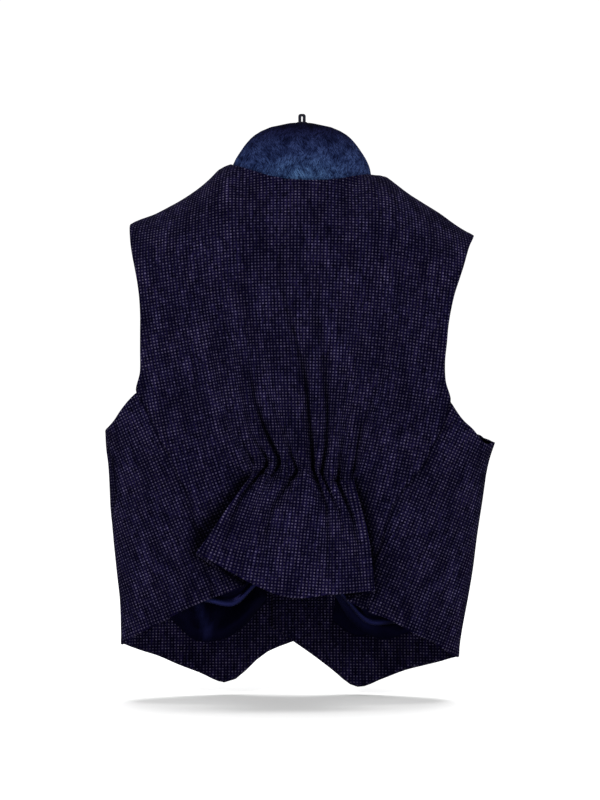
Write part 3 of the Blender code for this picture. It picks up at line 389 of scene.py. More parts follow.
def hem_of_seam(side):
    """Height of the princess seam's lower end."""
    return SIDE_HEM_LEFT["height"][-1] if side == "left" else SIDE_HEM_RIGHT["height"][0]


def waist_at(x):
    return smooth(WAIST["x"], WAIST["height"], x)


def fold_at(fold, height, suffix=""):
    """Where a crease runs above the waist, or how deep it is."""
    levels = list(FOLD_HEIGHTS.values()) + [float(waist_at(fold["waist"]))]
    values = [fold.get(level + suffix, 0.0) for level in list(FOLD_HEIGHTS) + ["waist"]]
    return float(smooth(levels[::-1], values[::-1], height))


def below_waist(fold, share, suffix=""):
    values = [fold[level + suffix] for level in ("waist", "flare", "hem")]
    return float(smooth((0.0, FLARE_AT, 1.0), values, share))


def spread(keys, steps):
    """Places from the first key to the last, the given number of steps between each two."""
    places = [np.linspace(start, end, steps, endpoint=False) for start, end in zip(keys[:-1], keys[1:])]
    return np.concatenate(places + [keys[-1:]])


def gathers(x, creases, depths, puff):
    """Y that the creases and the puffs between them add."""
    added = np.zeros_like(x)
    for crease, depth in zip(creases, depths):
        added += depth * np.exp(-((x - crease) / CREASE_REACH)**2)
    for start, end in zip(creases[:-1], creases[1:]):
        part = np.clip((x - start) / (end - start), 0.0, 1.0)
        added -= puff * np.sin(part * math.pi)**2
    return added


def pinch_at(x):
    """How far the elastic draws the waist in."""
    return PINCH * ease((PINCH_HALF_WIDTH - np.abs(x)) / PINCH_FADE)


def s_fold(turn_degrees, hidden):
    """An S in plan, from the side sheet out to the fan: x, distance out, and share of its length."""
    turn = math.radians(turn_degrees)
    bend = FOLD_RADIUS * turn
    length = 2 * bend + hidden
    even = np.linspace(0.0, length, FOLD_COLUMNS_ACROSS + 1)
    formed = np.array((0.0, bend / 2, bend, bend + hidden / 2, bend + hidden, length - bend / 2, length))
    along = mix(even, formed, min(1.0, turn_degrees / FOLD_FORMED))
    first = np.clip(along, 0.0, bend) / FOLD_RADIUS
    straight = np.clip(along - bend, 0.0, hidden)
    last = turn - np.clip(along - bend - hidden, 0.0, bend) / FOLD_RADIUS
    x = FOLD_RADIUS * (np.sin(first) + math.sin(turn) - np.sin(last)) + straight * math.cos(turn)
    out = FOLD_RADIUS * (1 - np.cos(first) + np.cos(last) - math.cos(turn)) + straight * math.sin(turn)
    return x, out, along / length


def row_above(share, left_z, right_z, in_yoke):
    """One row of the centre back above the waist, as points (x, y, z)."""
    x_left, x_right = float(edge_x("left", left_z)), float(edge_x("right", right_z))
    underarm = (UNDERARM_SEAM["left"] + UNDERARM_SEAM["right"]) / 2
    level = mix(FOLD_HEIGHTS["yoke"], underarm, share) if in_yoke else (left_z + right_z) / 2
    creases = np.array([fold_at(fold, level) for fold in FOLDS])
    depths = [fold_at(fold, level, "_in") for fold in FOLDS]
    over_waist = max(0.0, level - (WAIST["height"][0] + WAIST["height"][-1]) / 2)
    turn = float(smooth(FOLD_ABOVE["over waist"], FOLD_ABOVE["turn"], over_waist))
    hidden = float(smooth(FOLD_ABOVE["over waist"], FOLD_ABOVE["hidden"], over_waist))
    fold_x, fold_out, _ = s_fold(turn, hidden)
    first = creases[0] + fold_x - fold_x[-1] / 2
    last = (creases[-1] - fold_x + fold_x[-1] / 2)[::-1]
    keys = np.concatenate([[first[-1]], creases[1:-1], [last[0]]])
    fan_x = spread(keys, COLUMNS_FOLD)
    left_x = np.linspace(x_left, first[0], COLUMNS_SIDE + 1)
    right_x = np.linspace(last[-1], x_right, COLUMNS_SIDE + 1)
    x = np.concatenate([left_x[:-1], first[:-1], fan_x, last[1:], right_x[1:]])
    out = np.concatenate([np.zeros(COLUMNS_SIDE), fold_out[:-1], np.full(len(fan_x), fold_out[-1]),
                          fold_out[::-1][1:], np.zeros(COLUMNS_SIDE)])
    across = (x - x_left) / (x_right - x_left)
    underarm_row = mix(UNDERARM_SEAM["left"], UNDERARM_SEAM["right"], across)
    z = mix(top_edge(x), underarm_row, share) if in_yoke else mix(underarm_row, waist_at(x), share)
    z[0], z[-1] = left_z, right_z
    puff = PUFF * float(ease(1 - over_waist / PUFF_ABOVE))
    bumps = gathers(fan_x, keys, [0.0] + depths[1:-1] + [0.0], puff)
    y = back_depth(x, z) - out
    y[COLUMNS_SIDE + FOLD_COLUMNS_ACROSS:][:len(fan_x)] += bumps
    pinched = pinch_at(x) * ease(1 - (z - waist_at(x)) / PINCH_REACH)
    return np.stack([x, y + pinched, z], axis=1)


def row_below(share, left_z, right_z):
    """One row of the centre back below the waist: side, fold, fan, fold, side."""
    fan = {name: float(smooth(FAN["level"], FAN[name], share)) for name in FAN}
    turn = float(smooth(FOLD_BELOW["level"], FOLD_BELOW["turn"], share))
    top = row_above(1.0, WAIST["height"][0], WAIST["height"][-1], False)
    folded = COLUMNS_SIDE + FOLD_COLUMNS_ACROSS
    ends = (COLUMNS_SIDE, folded, len(top) - 1 - folded, len(top) - 1 - COLUMNS_SIDE)
    row = {}
    for side, sign, seam_z in (("left", 1, left_z), ("right", -1, right_z)):
        overlap = sign * (fan[side + " fold"] - fan[side + " edge"])
        sine, cosine = math.sin(math.radians(turn)), math.cos(math.radians(turn))
        hidden = max(HIDDEN_LEAST, (overlap - 2 * FOLD_RADIUS * (1 - sine)) / max(-cosine, TURN_LEVEL))
        fold_x, fold_out, part = s_fold(turn, hidden)
        start = fan[side + " fold"] - sign * FOLD_RADIUS
        start = mix(top[ends[0] if sign > 0 else ends[3], 0], start, ease(share / FOLD_SETTLED))
        seam_x = float(edge_x(side, seam_z))
        sheet_x = np.linspace(seam_x, start, COLUMNS_SIDE + 1)
        waist_end = top[ends[0] if sign > 0 else ends[3], 2]
        sheet_z = mix(seam_z, mix(waist_end, HIDDEN_HEM[side], share), np.linspace(0, 1, COLUMNS_SIDE + 1))
        sheet_y = back_depth(sheet_x, sheet_z) + pinch_at(sheet_x) * ease(1 - share / PINCH_BELOW)
        hem_z = FAN_HEM["height"][0 if sign > 0 else -1]
        waist_z = top[ends[0]:ends[1] + 1, 2] if sign > 0 else top[ends[2]:ends[3] + 1, 2][::-1]
        fold_z = mix(waist_z, mix(HIDDEN_HEM[side], hem_z, part), share)
        row[side] = (np.stack([sheet_x, sheet_y, sheet_z], axis=1),
                     np.stack([start + sign * fold_x, sheet_y[-1] - fold_out, fold_z], axis=1))
    left_sheet, left_fold = row["left"]
    right_sheet, right_fold = [points[::-1] for points in row["right"]]
    creases = np.array([below_waist(fold, share) for fold in FOLDS])
    depths = [below_waist(fold, share, "_in") for fold in FOLDS]
    creases[0], creases[-1] = left_fold[-1, 0], right_fold[0, 0]
    fan_x = spread(creases, COLUMNS_FOLD)
    across = (fan_x - fan_x[0]) / (fan_x[-1] - fan_x[0])
    edge_y = mix(left_fold[-1, 1], right_fold[0, 1], across)
    round_out = np.sin(across * math.pi) ** FAN_ROUND
    fan_y = mix(edge_y, -fan["middle out"], round_out)
    fan_y += gathers(fan_x, creases, [0.0] + depths[1:-1] + [0.0], PUFF * float(ease(1 - share / PUFF_BELOW)))
    hem = smooth(FAN_HEM["x"], FAN_HEM["height"], mix(FAN["left edge"][-1], FAN["right edge"][-1], across))
    fan_z = mix(top[ends[1]:ends[2] + 1, 2], hem, share)
    fan_points = np.stack([fan_x, fan_y, fan_z], axis=1)
    return np.concatenate([left_sheet[:-1], left_fold[:-1], fan_points, right_fold[1:], right_sheet[1:]])


def back_centre_grid():
    shares = np.concatenate([(np.arange(ROWS_YOKE) / ROWS_YOKE) ** YOKE_EASE, RIB_ROWS, SKIRT_ROWS])
    rows = []
    edges = zip(shares, edge_heights("left"), edge_heights("right"))
    for number, (share, left_z, right_z) in enumerate(edges):
        if number < WAIST_ROW:
            rows.append(row_above(share, left_z, right_z, number < ROWS_YOKE))
        else:
            rows.append(row_below(share, left_z, right_z))
    return np.array(rows)


# ---------------------------------------------------------------- side backs

def sign_of(side):
    return -1 if side == "left" else 1


def turn_at(side, x, height, ahead=False):
    """Angle round the section of a point at x, from the centre back, in degrees."""
    sine = np.clip(sign_of(side) * (x - middle_of(height)) / half_of(height), -1.0, 1.0)
    turn = np.degrees(np.arcsin(sine))
    return 180 - turn if ahead else turn


def around(side, turn, height):
    """Points of the smooth section at an angle from the centre back, with the fronts' overlap."""
    angle = np.radians(turn)
    x = middle_of(height) + sign_of(side) * half_of(height) * np.sin(angle)
    ahead = section("ahead", height) * rounding(shoulder_only(x) - height, 0.0)
    depth = np.where(np.cos(angle) > 0, section("behind", height), ahead)
    reach = np.abs(x - CENTRE_FRONT) - OVERLAP
    lift = LAP_LIFT * (1 - ease(reach / LAP_FADE)) * -sign_of(side)
    y = -depth * np.cos(angle) + np.where(np.asarray(turn) > 90, lift, 0.0)
    return np.stack([x, y, np.broadcast_to(height, x.shape)], axis=-1)


def armpit_and_hem(side):
    return (ARMPIT_LEFT, SIDE_HEM_LEFT) if side == "left" else (ARMPIT_RIGHT, SIDE_HEM_RIGHT)


def side_rows(side):
    """Share of the way from the armhole to the hem of each row that meets the side seam."""
    seam = edge_heights(side)[ROWS_YOKE:]
    return (seam - seam[0]) / (seam[-1] - seam[0])


def side_seam(side):
    """Height and turn of the side seam, row by row."""
    armpit, hem = armpit_and_hem(side)
    hem_end = hem["height"][0] if side == "left" else hem["height"][-1]
    heights = mix(armpit["height"][-1], hem_end, side_rows(side))
    return heights, smooth(SIDE_SEAM_TURN["height"], SIDE_SEAM_TURN[side], heights)


def side_back_grid(side):
    armpit, hem = armpit_and_hem(side)
    inner_z = edge_heights(side)[ROWS_YOKE:]
    inner_x = edge_x(side, inner_z)
    outer_z, outer_turn = side_seam(side)
    share = np.linspace(0.0, 1.0, COLUMNS_SIDE_PANEL + 1)
    rows = []
    for number, part in enumerate(side_rows(side)):
        turn = mix(turn_at(side, inner_x[number], inner_z[number]), outer_turn[number], share)
        height = mix(inner_z[number], outer_z[number], share)
        x = around(side, turn, height)[:, 0]
        bend_top = smooth(armpit["x"], armpit["height"], x) - mix(inner_z[0], outer_z[0], share)
        bend_hem = smooth(hem["x"], hem["height"], x) - mix(inner_z[-1], outer_z[-1], share)
        bend = bend_top * (1 - part)**3 + bend_hem * part**3
        bend[0] = bend[-1] = 0.0
        row = around(side, turn, height + bend)
        row[0, 0] = inner_x[number]
        row[0, 1] = back_depth(row[0, 0], row[0, 2])
        rows.append(row)
    return np.array(rows)


# ---------------------------------------------------------------- fronts

def lap_edge(side):
    """X of the straight edge of a front."""
    return CENTRE_FRONT - sign_of(side) * OVERLAP


def neck_edge(side, share):
    """X and height of the V neck, from the neck point down."""
    sign = sign_of(side)
    start = float(top_edge(np.array(sign * NECK_HALF_WIDTH)))
    height = mix(start, NECK_BOTTOM, share)
    table_height = mix(V_EDGE["height"][0], V_EDGE["height"][-1], share)
    reach = smooth(V_EDGE["height"], V_EDGE["from centre"], table_height)
    wider = abs(sign * NECK_HALF_WIDTH - CENTRE_FRONT) / V_EDGE["from centre"][0]
    crossing = (OVERLAP + V_EDGE["from centre"][-1]) * ease((share - V_CROSSES_FROM) / (1 - V_CROSSES_FROM))
    return CENTRE_FRONT + sign * (reach * mix(wider, 1.0, ease(share)) - crossing), height


def front_places(side):
    """Turn and height of each point of a front, from its armhole and side seam to its front edge."""
    upper = np.array(FRONT_SHARES)
    seam_z, seam_turn = side_seam(side)
    lower = side_rows(side)
    # outer edge
    arm_z = mix(TIP[side], seam_z[0], upper)
    arm_level = mix(FRONT_ARMHOLE["height"][-1], FRONT_ARMHOLE["height"][0], upper)
    arm_x = sign_of(side) * smooth(FRONT_ARMHOLE["height"], FRONT_ARMHOLE["out"], arm_level)
    out_z = np.concatenate([arm_z, seam_z])
    out_turn = np.concatenate([turn_at(side, arm_x, arm_z, True), seam_turn])
    # inner edge
    neck_x, neck_z = neck_edge(side, upper)
    hem_z = float(smooth(FRONT_HEM["x"], FRONT_HEM[side], lap_edge(side)))
    in_x = np.concatenate([neck_x, np.full(len(lower), lap_edge(side))])
    in_z = np.concatenate([neck_z, mix(NECK_BOTTOM, hem_z, lower)])
    share = np.concatenate([np.linspace(0.0, POINT_AT, COLUMNS_FRONT),
                            np.linspace(FACING_FROM[side], 1.0, COLUMNS_FACING + 1)])
    hem_pull = np.clip(lower / lower[-1 - ROWS_FACING], 0.0, 1.0) ** HEM_PULL
    near_underarm = np.concatenate([upper ** 3, (1 - lower) ** 2])
    sag = ROW_SAG * np.sqrt(share) * (1 - share)
    turns, heights = [], []
    for number in range(len(out_z)):
        turn = mix(out_turn[number], turn_at(side, in_x[number], in_z[number], True), share)
        height = mix(out_z[number], in_z[number], share ** (1 + ROW_BOW * near_underarm[number]))
        height -= sag * near_underarm[number] ** 2
        x = around(side, turn, height)[:, 0]
        if number < FRONT_ROWS:
            bend = (shoulder_only(x) - mix(out_z[0], in_z[0], share)) * (1 - upper[number])**2
        else:
            hem = smooth(FRONT_HEM["x"], FRONT_HEM[side], x)
            bend = (hem - mix(out_z[-1], in_z[-1], share)) * hem_pull[number - FRONT_ROWS]
        bend[0] = bend[-1] = 0.0
        turns.append(turn)
        heights.append(height + bend)
    return np.array(turns), np.array(heights)


def front_grid(side):
    return around(side, *front_places(side))


# ---------------------------------------------------------------- facings and linings

def facing_grid(side):
    """The front's own points below the neck, moved in, and drawn back from its edges."""
    grid = moved_in(front_grid(side), (CLOTH + FACING) / 2 + LAYER_GAP)[FRONT_ROWS:]
    return inset(grid[:, 1:], ("bottom", "right"), FACING_INSET)


def beside_facing(row, column):
    """Cells of the facing's grid that its band leaves bare."""
    rows_in_band = len(side_rows("left")) - 1 - ROWS_FACING
    return row < rows_in_band and column < COLUMNS_FRONT - 1


def lining_front_grid(side):
    """Over the facing's edge, from below the armhole to the satin's own lower edge."""
    turn, height = [places[FRONT_ROWS:-ROWS_FACING, :COLUMNS_FRONT + 1] for places in front_places(side)]
    x = around(side, turn, height)[:, :, 0]
    table = LINING_FRONT_HEM[side]
    lower_edge = smooth(table["x"], table["height"], x[-1])
    part = np.linspace(0.0, 1.0, len(turn))[:, None] ** 2
    height = height + (lower_edge - height[-1]) * part
    turn[:, 0] += LINING_FROM_SEAM
    height[0] -= LINING_BELOW_ARMHOLE
    return moved_in(around(side, turn, height), CLOTH / 2 + FACING + LINING / 2 + 2 * LAYER_GAP)


def lining_back_grid():
    rows = []
    seams = {side: side_seam(side) for side in ("left", "right")}
    for part in np.linspace(0.0, 1.0, LINING_ROWS + 1):
        level = mix(LINING_TOP["right"], LINING_LEVEL, part)
        left, right = [float(smooth(*seams[side], level)) - LINING_FROM_SEAM for side in ("left", "right")]
        turn = np.linspace(-left, right, LINING_COLUMNS + 1)
        x = around("right", turn, level)[:, 0]
        top = mix(LINING_TOP["left"], LINING_TOP["right"], (turn + left) / (left + right))
        height = mix(top, smooth(LINING_BACK_HEM["x"], LINING_BACK_HEM["height"], x), part)
        rows.append(around("right", turn, height))
    grid = np.array(rows)
    slack = smooth(LINING_BACK_SLACK["x"], LINING_BACK_SLACK["in"], grid[:, :, 0])
    return moved_in(grid, slack[:, :, None])


def ring(radius_x, radius_y, height, sides, middle=(0.0, 0.0)):
    turn = np.arange(sides) * 2 * math.pi / sides
    return np.stack([middle[0] + radius_x * np.cos(turn), middle[1] + radius_y * np.sin(turn),
                     np.full(sides, float(height))], axis=1)


# ---------------------------------------------------------------- fine cloth

# Fine rows and columns for one coarse one. Of the centre back, first its columns:
STEPS_SIDE = 5              # beside the gathers
STEPS_BEND = 2              # in the folds beside the fan
STEPS_GATHER = 6            # between two creases
STEPS_ROWS = [6] * (WAIST_ROW - 2) + [7, 6] + [5, 5, 5, 5, 5, 6, 4, 4, 5]
# and of the other pieces:
STEPS_SIDE_BACK = 5
STEPS_FRONT = 4
STEPS_LINING = 5, 6
STEPS_LINING_BACK = [9] * (LINING_ROWS - 1) + [18], 7
# Where the grain is laid, as a coarse row and column, and its lean there in degrees
GRAIN_BACK_ROW = 4
GRAIN_SIDE_BACK = {"left": (9, 3, 21.0), "right": (9, 3, -22.0)}
GRAIN_FRONT = FRONT_ROWS + 11, 9, 0.0
GRAIN_FACING = 12, 8, 0.0
FLATTEN_ROUNDS = 40
TURNED_SIDE_BACK = 2        # rows at the hem of a side back whose suiting turns in
FAN_COLUMN = 4              # coarse columns of its fold that the cloth has before the fan begins
FAN_TOP = -405
FRONT_EDGE_SHADE = (0.7, 1.5)       # painted shade along the fronts' free edges, and its reach
SWALLOWED = {               # cloth that each crease takes in, beyond what its depth does
    "level": (-110, -208, -300, -350, -400), "share": (0.0, 0.03, 0.42, 0.68, 1.0),
}
SWALLOWED_BELOW = {"share": (0.0, 0.4, 1.0), "left": (1.0, 0.45, 0.0)}
SWALLOWED_EACH = (6.0, 9.0, 9.0, 9.0, 12.0, 9.0, 9.0, 6.0)


def curve_through(points, steps, corner=None):
    """Smooth curves along the first axis, with the given number of steps in each stretch.
    corner is a place where the first curves turn sharply."""
    if corner is not None:
        made = curve_through(points, steps)
        sharp = np.concatenate([curve_through(points[:corner + 1], steps[:corner])[:-1],
                                curve_through(points[corner:], steps[corner:])])
        share = ease(1 - np.arange(points.shape[1]) / 2.5)[:, None]
        return mix(made, sharp, share)
    reach = np.linalg.norm(np.diff(points[..., :3], axis=0), axis=-1)[..., None] + 1e-6
    speed = np.diff(points, axis=0) / reach
    slope = np.empty_like(points)
    slope[1:-1] = (speed[:-1] * reach[1:] + speed[1:] * reach[:-1]) / (reach[1:] + reach[:-1])
    slope[0] = 1.5 * speed[0] - 0.5 * slope[1]
    slope[-1] = 1.5 * speed[-1] - 0.5 * slope[-2]
    made = []
    for number, count in enumerate(steps):
        for part in np.arange(count) / count:
            made.append(cubic(part, reach[number], points[number], points[number + 1], slope[number],
                              slope[number + 1]))
    made.append(points[-1])
    return np.array(made)


def refine(grid, row_steps, column_steps, corner=None):
    rows, columns = grid.shape[:2]
    row_steps = [row_steps] * (rows - 1) if isinstance(row_steps, int) else row_steps
    column_steps = [column_steps] * (columns - 1) if isinstance(column_steps, int) else column_steps
    finer = curve_through(grid, row_steps, corner).swapaxes(0, 1)
    return curve_through(finer, column_steps).swapaxes(0, 1)


def flatten(grid, extra=None):
    """Lays a grid flat with as little stretch as it can. extra is width hidden in each cell's top edge."""
    rows, columns = grid.shape[:2]
    extra = np.zeros((rows, columns - 1)) if extra is None else extra
    corner = grid[:-1, :-1], grid[:-1, 1:], grid[1:, :-1], grid[1:, 1:]
    across = corner[1] - corner[0] + corner[3] - corner[2]
    across /= np.linalg.norm(across, axis=-1, keepdims=True)
    down = corner[2] - corner[0] + corner[3] - corner[1]
    down -= np.sum(down * across, axis=-1, keepdims=True) * across
    down /= np.linalg.norm(down, axis=-1, keepdims=True)
    rest = [np.stack([np.sum((point - corner[0]) * across, -1), -np.sum((point - corner[0]) * down, -1)], -1)
            for point in corner]
    top, bottom = extra[:-1], extra[1:]
    rest[1][..., 0] += top
    rest[2][..., 0] += (top - bottom) / 2
    rest[3][..., 0] += (top + bottom) / 2
    index = np.arange(rows * columns).reshape(rows, columns)
    ends = [index[:-1, :-1], index[:-1, 1:], index[1:, :-1], index[1:, 1:]]
    pairs = [(0, 1), (2, 3), (0, 2), (1, 3), (0, 3), (1, 2)]
    count = rows * columns
    matrix = np.zeros((count, count))
    for start, end in pairs:
        here, there = ends[start].ravel(), ends[end].ravel()
        np.add.at(matrix, (here, here), 1.0)
        np.add.at(matrix, (there, there), 1.0)
        np.add.at(matrix, (here, there), -1.0)
        np.add.at(matrix, (there, here), -1.0)
    matrix[0, 0] += 1.0
    solved = np.linalg.inv(matrix)
    width = np.linalg.norm(np.diff(grid, axis=1), axis=-1) + extra
    u = np.concatenate([np.zeros((rows, 1)), np.cumsum(width, axis=1)], axis=1)
    u -= u[:, columns // 2][:, None]
    height = np.linalg.norm(np.diff(grid, axis=0), axis=-1)
    v = -np.concatenate([np.zeros((1, columns)), np.cumsum(height, axis=0)], axis=0)
    flat = np.stack([u, v], axis=-1).reshape(-1, 2)
    for _ in range(FLATTEN_ROUNDS):
        sine = cosine = 0.0
        for start, end in pairs:
            edge, now = rest[end] - rest[start], flat[ends[end]] - flat[ends[start]]
            cosine = cosine + np.sum(edge * now, -1)
            sine = sine + edge[..., 0] * now[..., 1] - edge[..., 1] * now[..., 0]
        size = np.hypot(sine, cosine) + 1e-9
        cosine, sine = cosine / size, sine / size
        wanted = np.zeros((count, 2))
        wanted[0] = flat[0]
        for start, end in pairs:
            edge = rest[end] - rest[start]
            turned = np.stack([cosine * edge[..., 0] - sine * edge[..., 1],
                               sine * edge[..., 0] + cosine * edge[..., 1]], -1).reshape(-1, 2)
            np.add.at(wanted, ends[end].ravel(), turned)
            np.add.at(wanted, ends[start].ravel(), -turned)
        flat = solved @ wanted
    return flat.reshape(rows, columns, 2)


def aligned(grid, flat, row, column, tilt):
    """Turns the flat cloth so that its grain leans by tilt degrees there, to +X on the way down."""
    along, across = grid[row + 1, column] - grid[row, column], grid[row, column + 1] - grid[row, column]
    wanted = np.array([math.sin(math.radians(tilt)), -math.cos(math.radians(tilt))])
    shares = np.linalg.solve(np.array([along[[0, 2]], across[[0, 2]]]).T, wanted)
    turned = (shares[0] * (flat[row + 1, column] - flat[row, column])
              + shares[1] * (flat[row, column + 1] - flat[row, column]))
    angle = -math.pi / 2 - math.atan2(turned[1], turned[0])
    spin = np.array([[math.cos(angle), -math.sin(angle)], [math.sin(angle), math.cos(angle)]])
    return flat @ spin.T


def with_flat(grid, flat):
    return np.concatenate([grid, flat], axis=-1)


# Narrow lines at the bottom of the creases, and short puckers at the elastic
CREASE_SHARP = 1.0          # share of a crease's depth that its narrow line adds
CREASE_WIDTH = 2.0
CREASE_LIP = 0.35           # share of the depth that the cloth beside a line swells by
LIP_AT, LIP_WIDTH = 3.2, 1.6        # the swell's place and width, in widths of a crease
PUCKER_LIP_AT = 2.2
PUCKER_REPLACES = 0.4       # what stays of a crease where a pucker crosses it
SHADE_DEPTH = 3.2           # push in at which a crease is fully darkened by painted shade
CREASE_DEEPEST = 3.8
SOFT_REACH = 5.5            # of the soft painted shade beside a crease
SOFT_SHADE = 0.5
FAN_PAINTED_LIGHT = 0.22          # the fan, which stands out, is painted lighter by this, as painted light
PUCKERS = (                 # x and z of both ends, depth
    (-45.7, -410.6, -38.4, -392.3, 1.3), (-26.5, -407.5, -16.5, -390.0, 1.2),
    (-42.6, -393.0, -34.5, -403.0, 1.1), (4.0, -402.5, 13.0, -408.5, 1.0),
    (20.6, -402.5, 27.5, -410.0, 1.1), (-73.0, -399.0, -65.0, -404.0, 1.0),
    (-60.5, -416.0, -46.0, -431.5, 1.3), (-32.0, -413.0, -43.0, -434.0, 1.2),
    (-15.0, -413.0, -10.0, -431.5, 1.0),
    (3.5, -413.0, 19.0, -431.5, 1.2), (26.5, -416.0, 42.0, -449.0, 1.6), (-76.0, -405.5, -94.5, -434.5, 1.4),
    (-70.0, -407.0, -82.0, -431.5, 1.2), (-5.0, -386.0, -2.0, -401.0, 1.0), (32.0, -390.0, 30.5, -408.0, 1.0),
    (48.0, -395.0, 45.0, -411.0, 1.0), (47.0, -415.0, 58.0, -436.0, 1.1), (-20.0, -384.0, -18.0, -399.0, 0.9),
)
PUCKER_WIDTH = 1.5
ELASTIC_LINE = ((-74, -401), (-64.5, -404), (-52.5, -402.5), (-40, -405.5), (-28, -409), (-15.5, -410.5),
                (-0.5, -407.5), (7.2, -410.5), (18, -410.5), (30, -413.5), (42, -412), (56, -411))
ELASTIC_DEPTH = 1.1
ELASTIC_WIDTH = 1.4
FAN_LIFT = 11.0             # the fan's edges stand off the sides by this more than the solid's


LINE_DEPTHS = {             # of the narrow lines, at these heights above the waist and shares below it
    "level": (-130, -208, -262, -300, -350, -385, -401), "share": (0.0, 0.12, 0.3, 0.55, 1.0),
    "above": ((0, 0, 0, 0.1, 0.7, 1.8, 3.2), (0, 0, 0, 0, 0.2, 1.4, 3.2), (0, 0, 0.2, 0.9, 2.3, 3.6, 3.4),
              (0, 0, 0, 0, 0.5, 1.7, 3.2), (0, 0.6, 1.1, 1.7, 2.7, 3.6, 3.6),
              (0, 0.2, 0.7, 1.4, 2.3, 2.9, 3.3), (0, 0, 0, 0, 0.3, 1.4, 3.0), (0, 0, 0, 0.4, 1.3, 2.2, 3.2)),
    "below": ((0, 0, 0, 0, 0), (3.2, 3.2, 2.8, 1.4, 0.2), (3.4, 1.2, 0.4, 0, 0), (3.6, 2.8, 2.2, 1.0, 0.1),
              (3.8, 3.0, 2.3, 0.9, 0), (3.2, 1.6, 0.6, 0.2, 0), (3.6, 3.2, 2.8, 1.4, 0.2), (0, 0, 0, 0, 0)),
}


def crease_depths():
    """Depth of each crease's narrow line in each coarse row of the centre back."""
    heights = (edge_heights("left") + edge_heights("right")) / 2
    rows = []
    for number, height in enumerate(heights):
        if number < WAIST_ROW:
            if number < ROWS_YOKE:
                height = mix(FOLD_HEIGHTS["yoke"], heights[ROWS_YOKE], (number / ROWS_YOKE)**YOKE_EASE)
            rows.append([float(smooth(LINE_DEPTHS["level"][::-1], depths[::-1], height))
                         for depths in LINE_DEPTHS["above"]])
        else:
            rows.append([float(smooth(LINE_DEPTHS["share"], depths, SKIRT_ROWS[number - WAIST_ROW]))
                         for depths in LINE_DEPTHS["below"]])
    return np.array(rows)


def along_line(place, line):
    """Distance of each place from a line of points, in the plane as seen from behind."""
    nearest = np.full(place.shape[:2], 1e9)
    for start, end in zip(line[:-1], line[1:]):
        along = end - start
        part = np.clip(((place - start) @ along) / (along @ along), 0.0, 1.0)
        nearest = np.minimum(nearest, np.linalg.norm(place - start - part[..., None] * along, axis=-1))
    return nearest


def crease_push(grid, row_steps, column_steps):
    """How far each point of the back is pushed out by its narrow lines, in millimetres, and the soft painted
    shade beside each crease.
    """
    row_places = np.concatenate([[0], np.cumsum(row_steps)])
    column_places = np.concatenate([[0], np.cumsum(column_steps)])
    coarse = crease_depths()
    depths = np.array([np.interp(np.arange(len(grid)), row_places, column) for column in coarse.T])
    run = np.concatenate([np.zeros((len(grid), 1)),
                          np.cumsum(np.linalg.norm(np.diff(grid[..., :3], axis=1), axis=-1), axis=1)], axis=1)
    push, soft = np.zeros(run.shape), np.zeros(run.shape)
    first = COLUMNS_SIDE + FOLD_COLUMNS_ACROSS
    for number in range(len(FOLDS)):
        place = column_places[first + COLUMNS_FOLD * number]
        away = np.abs(run - run[:, place][:, None])
        depth = depths[number][:, None] * CREASE_SHARP
        push -= depth * np.exp(-away / CREASE_WIDTH)
        push += depth * CREASE_LIP * np.exp(-((away - LIP_AT * CREASE_WIDTH) / (LIP_WIDTH * CREASE_WIDTH))**2)
        soft = np.maximum(soft, np.sqrt(depth / CREASE_DEEPEST) * np.exp(-(away / SOFT_REACH)**2))
    place = grid[..., [0, 2]]
    for x, z, x_end, z_end, depth in PUCKERS:
        near = along_line(place, np.array([(x, z), (x_end, z_end)], float))
        push = np.minimum(push, push * PUCKER_REPLACES - depth * np.exp(-(near / PUCKER_WIDTH)**2))
        push += depth * CREASE_LIP * np.exp(-((near - PUCKER_LIP_AT * PUCKER_WIDTH) / PUCKER_WIDTH)**2)
    near = along_line(place, curve_through(np.array(ELASTIC_LINE, float), [5] * (len(ELASTIC_LINE) - 1)))
    push -= ELASTIC_DEPTH * np.exp(-(near / ELASTIC_WIDTH)**2)
    return push, soft


# Where the fan's edges and hem lie over the cloth behind it, seen from behind, as x and z: the outline of its
# painted shadow
FAN_OVER = ((-54, -399), (-85.5, -438), (-114.7, -471.5), (-119.2, -494), (-97.9, -508.5), (-64, -527.5),
            (-45, -536.5), (0, -540), (45, -540), (79.8, -536.5), (77.5, -491.5), (71.9, -464.5),
            (67.4, -437.5), (58.4, -415))
FAN_SHADOW = 0.95
FAN_SHADOW_FROM = (-398, 14)        # its upper end, and how far it takes to set in
FAN_SHADOW_REACH = 7.5


def fan_shadow(grid):
    """Painted shadow on the cloth behind the fan and close beside it."""
    place = grid[..., [0, 2]]
    outline = np.array(FAN_OVER, float)
    inside = np.zeros(place.shape[:2], bool)
    for (x, z), (x_next, z_next) in zip(outline, np.roll(outline, -1, axis=0)):
        crosses = (z > place[..., 1]) != (z_next > place[..., 1])
        at = x + (place[..., 1] - z) / (z_next - z + 1e-9) * (x_next - x)
        inside ^= crosses & (place[..., 0] < at)
    near = along_line(place, outline)
    shadow = np.where(inside, 1.0, np.exp(-(near / FAN_SHADOW_REACH)**2))
    return FAN_SHADOW * shadow * ease((FAN_SHADOW_FROM[0] - place[..., 1]) / FAN_SHADOW_FROM[1])


def lifted_fan(coarse):
    """The fan with its edges standing further off the sides."""
    lifted = coarse.copy()
    columns = coarse.shape[1]
    place = np.arange(columns)
    place = np.minimum(place, columns - 1 - place)
    share = ease((place - COLUMNS_SIDE - 1) / (FOLD_COLUMNS_ACROSS - 2))
    inward = np.clip((place - COLUMNS_SIDE - FOLD_COLUMNS_ACROSS) / (COLUMNS_FOLD * 3.5), 0.0, 1.0)
    down = ease(np.array(SKIRT_ROWS) / 0.6)
    lifted[WAIST_ROW:, :, 1] -= FAN_LIFT * down[:, None] * (share * (1 - 0.6 * ease(inward)))[None, :]
    return lifted


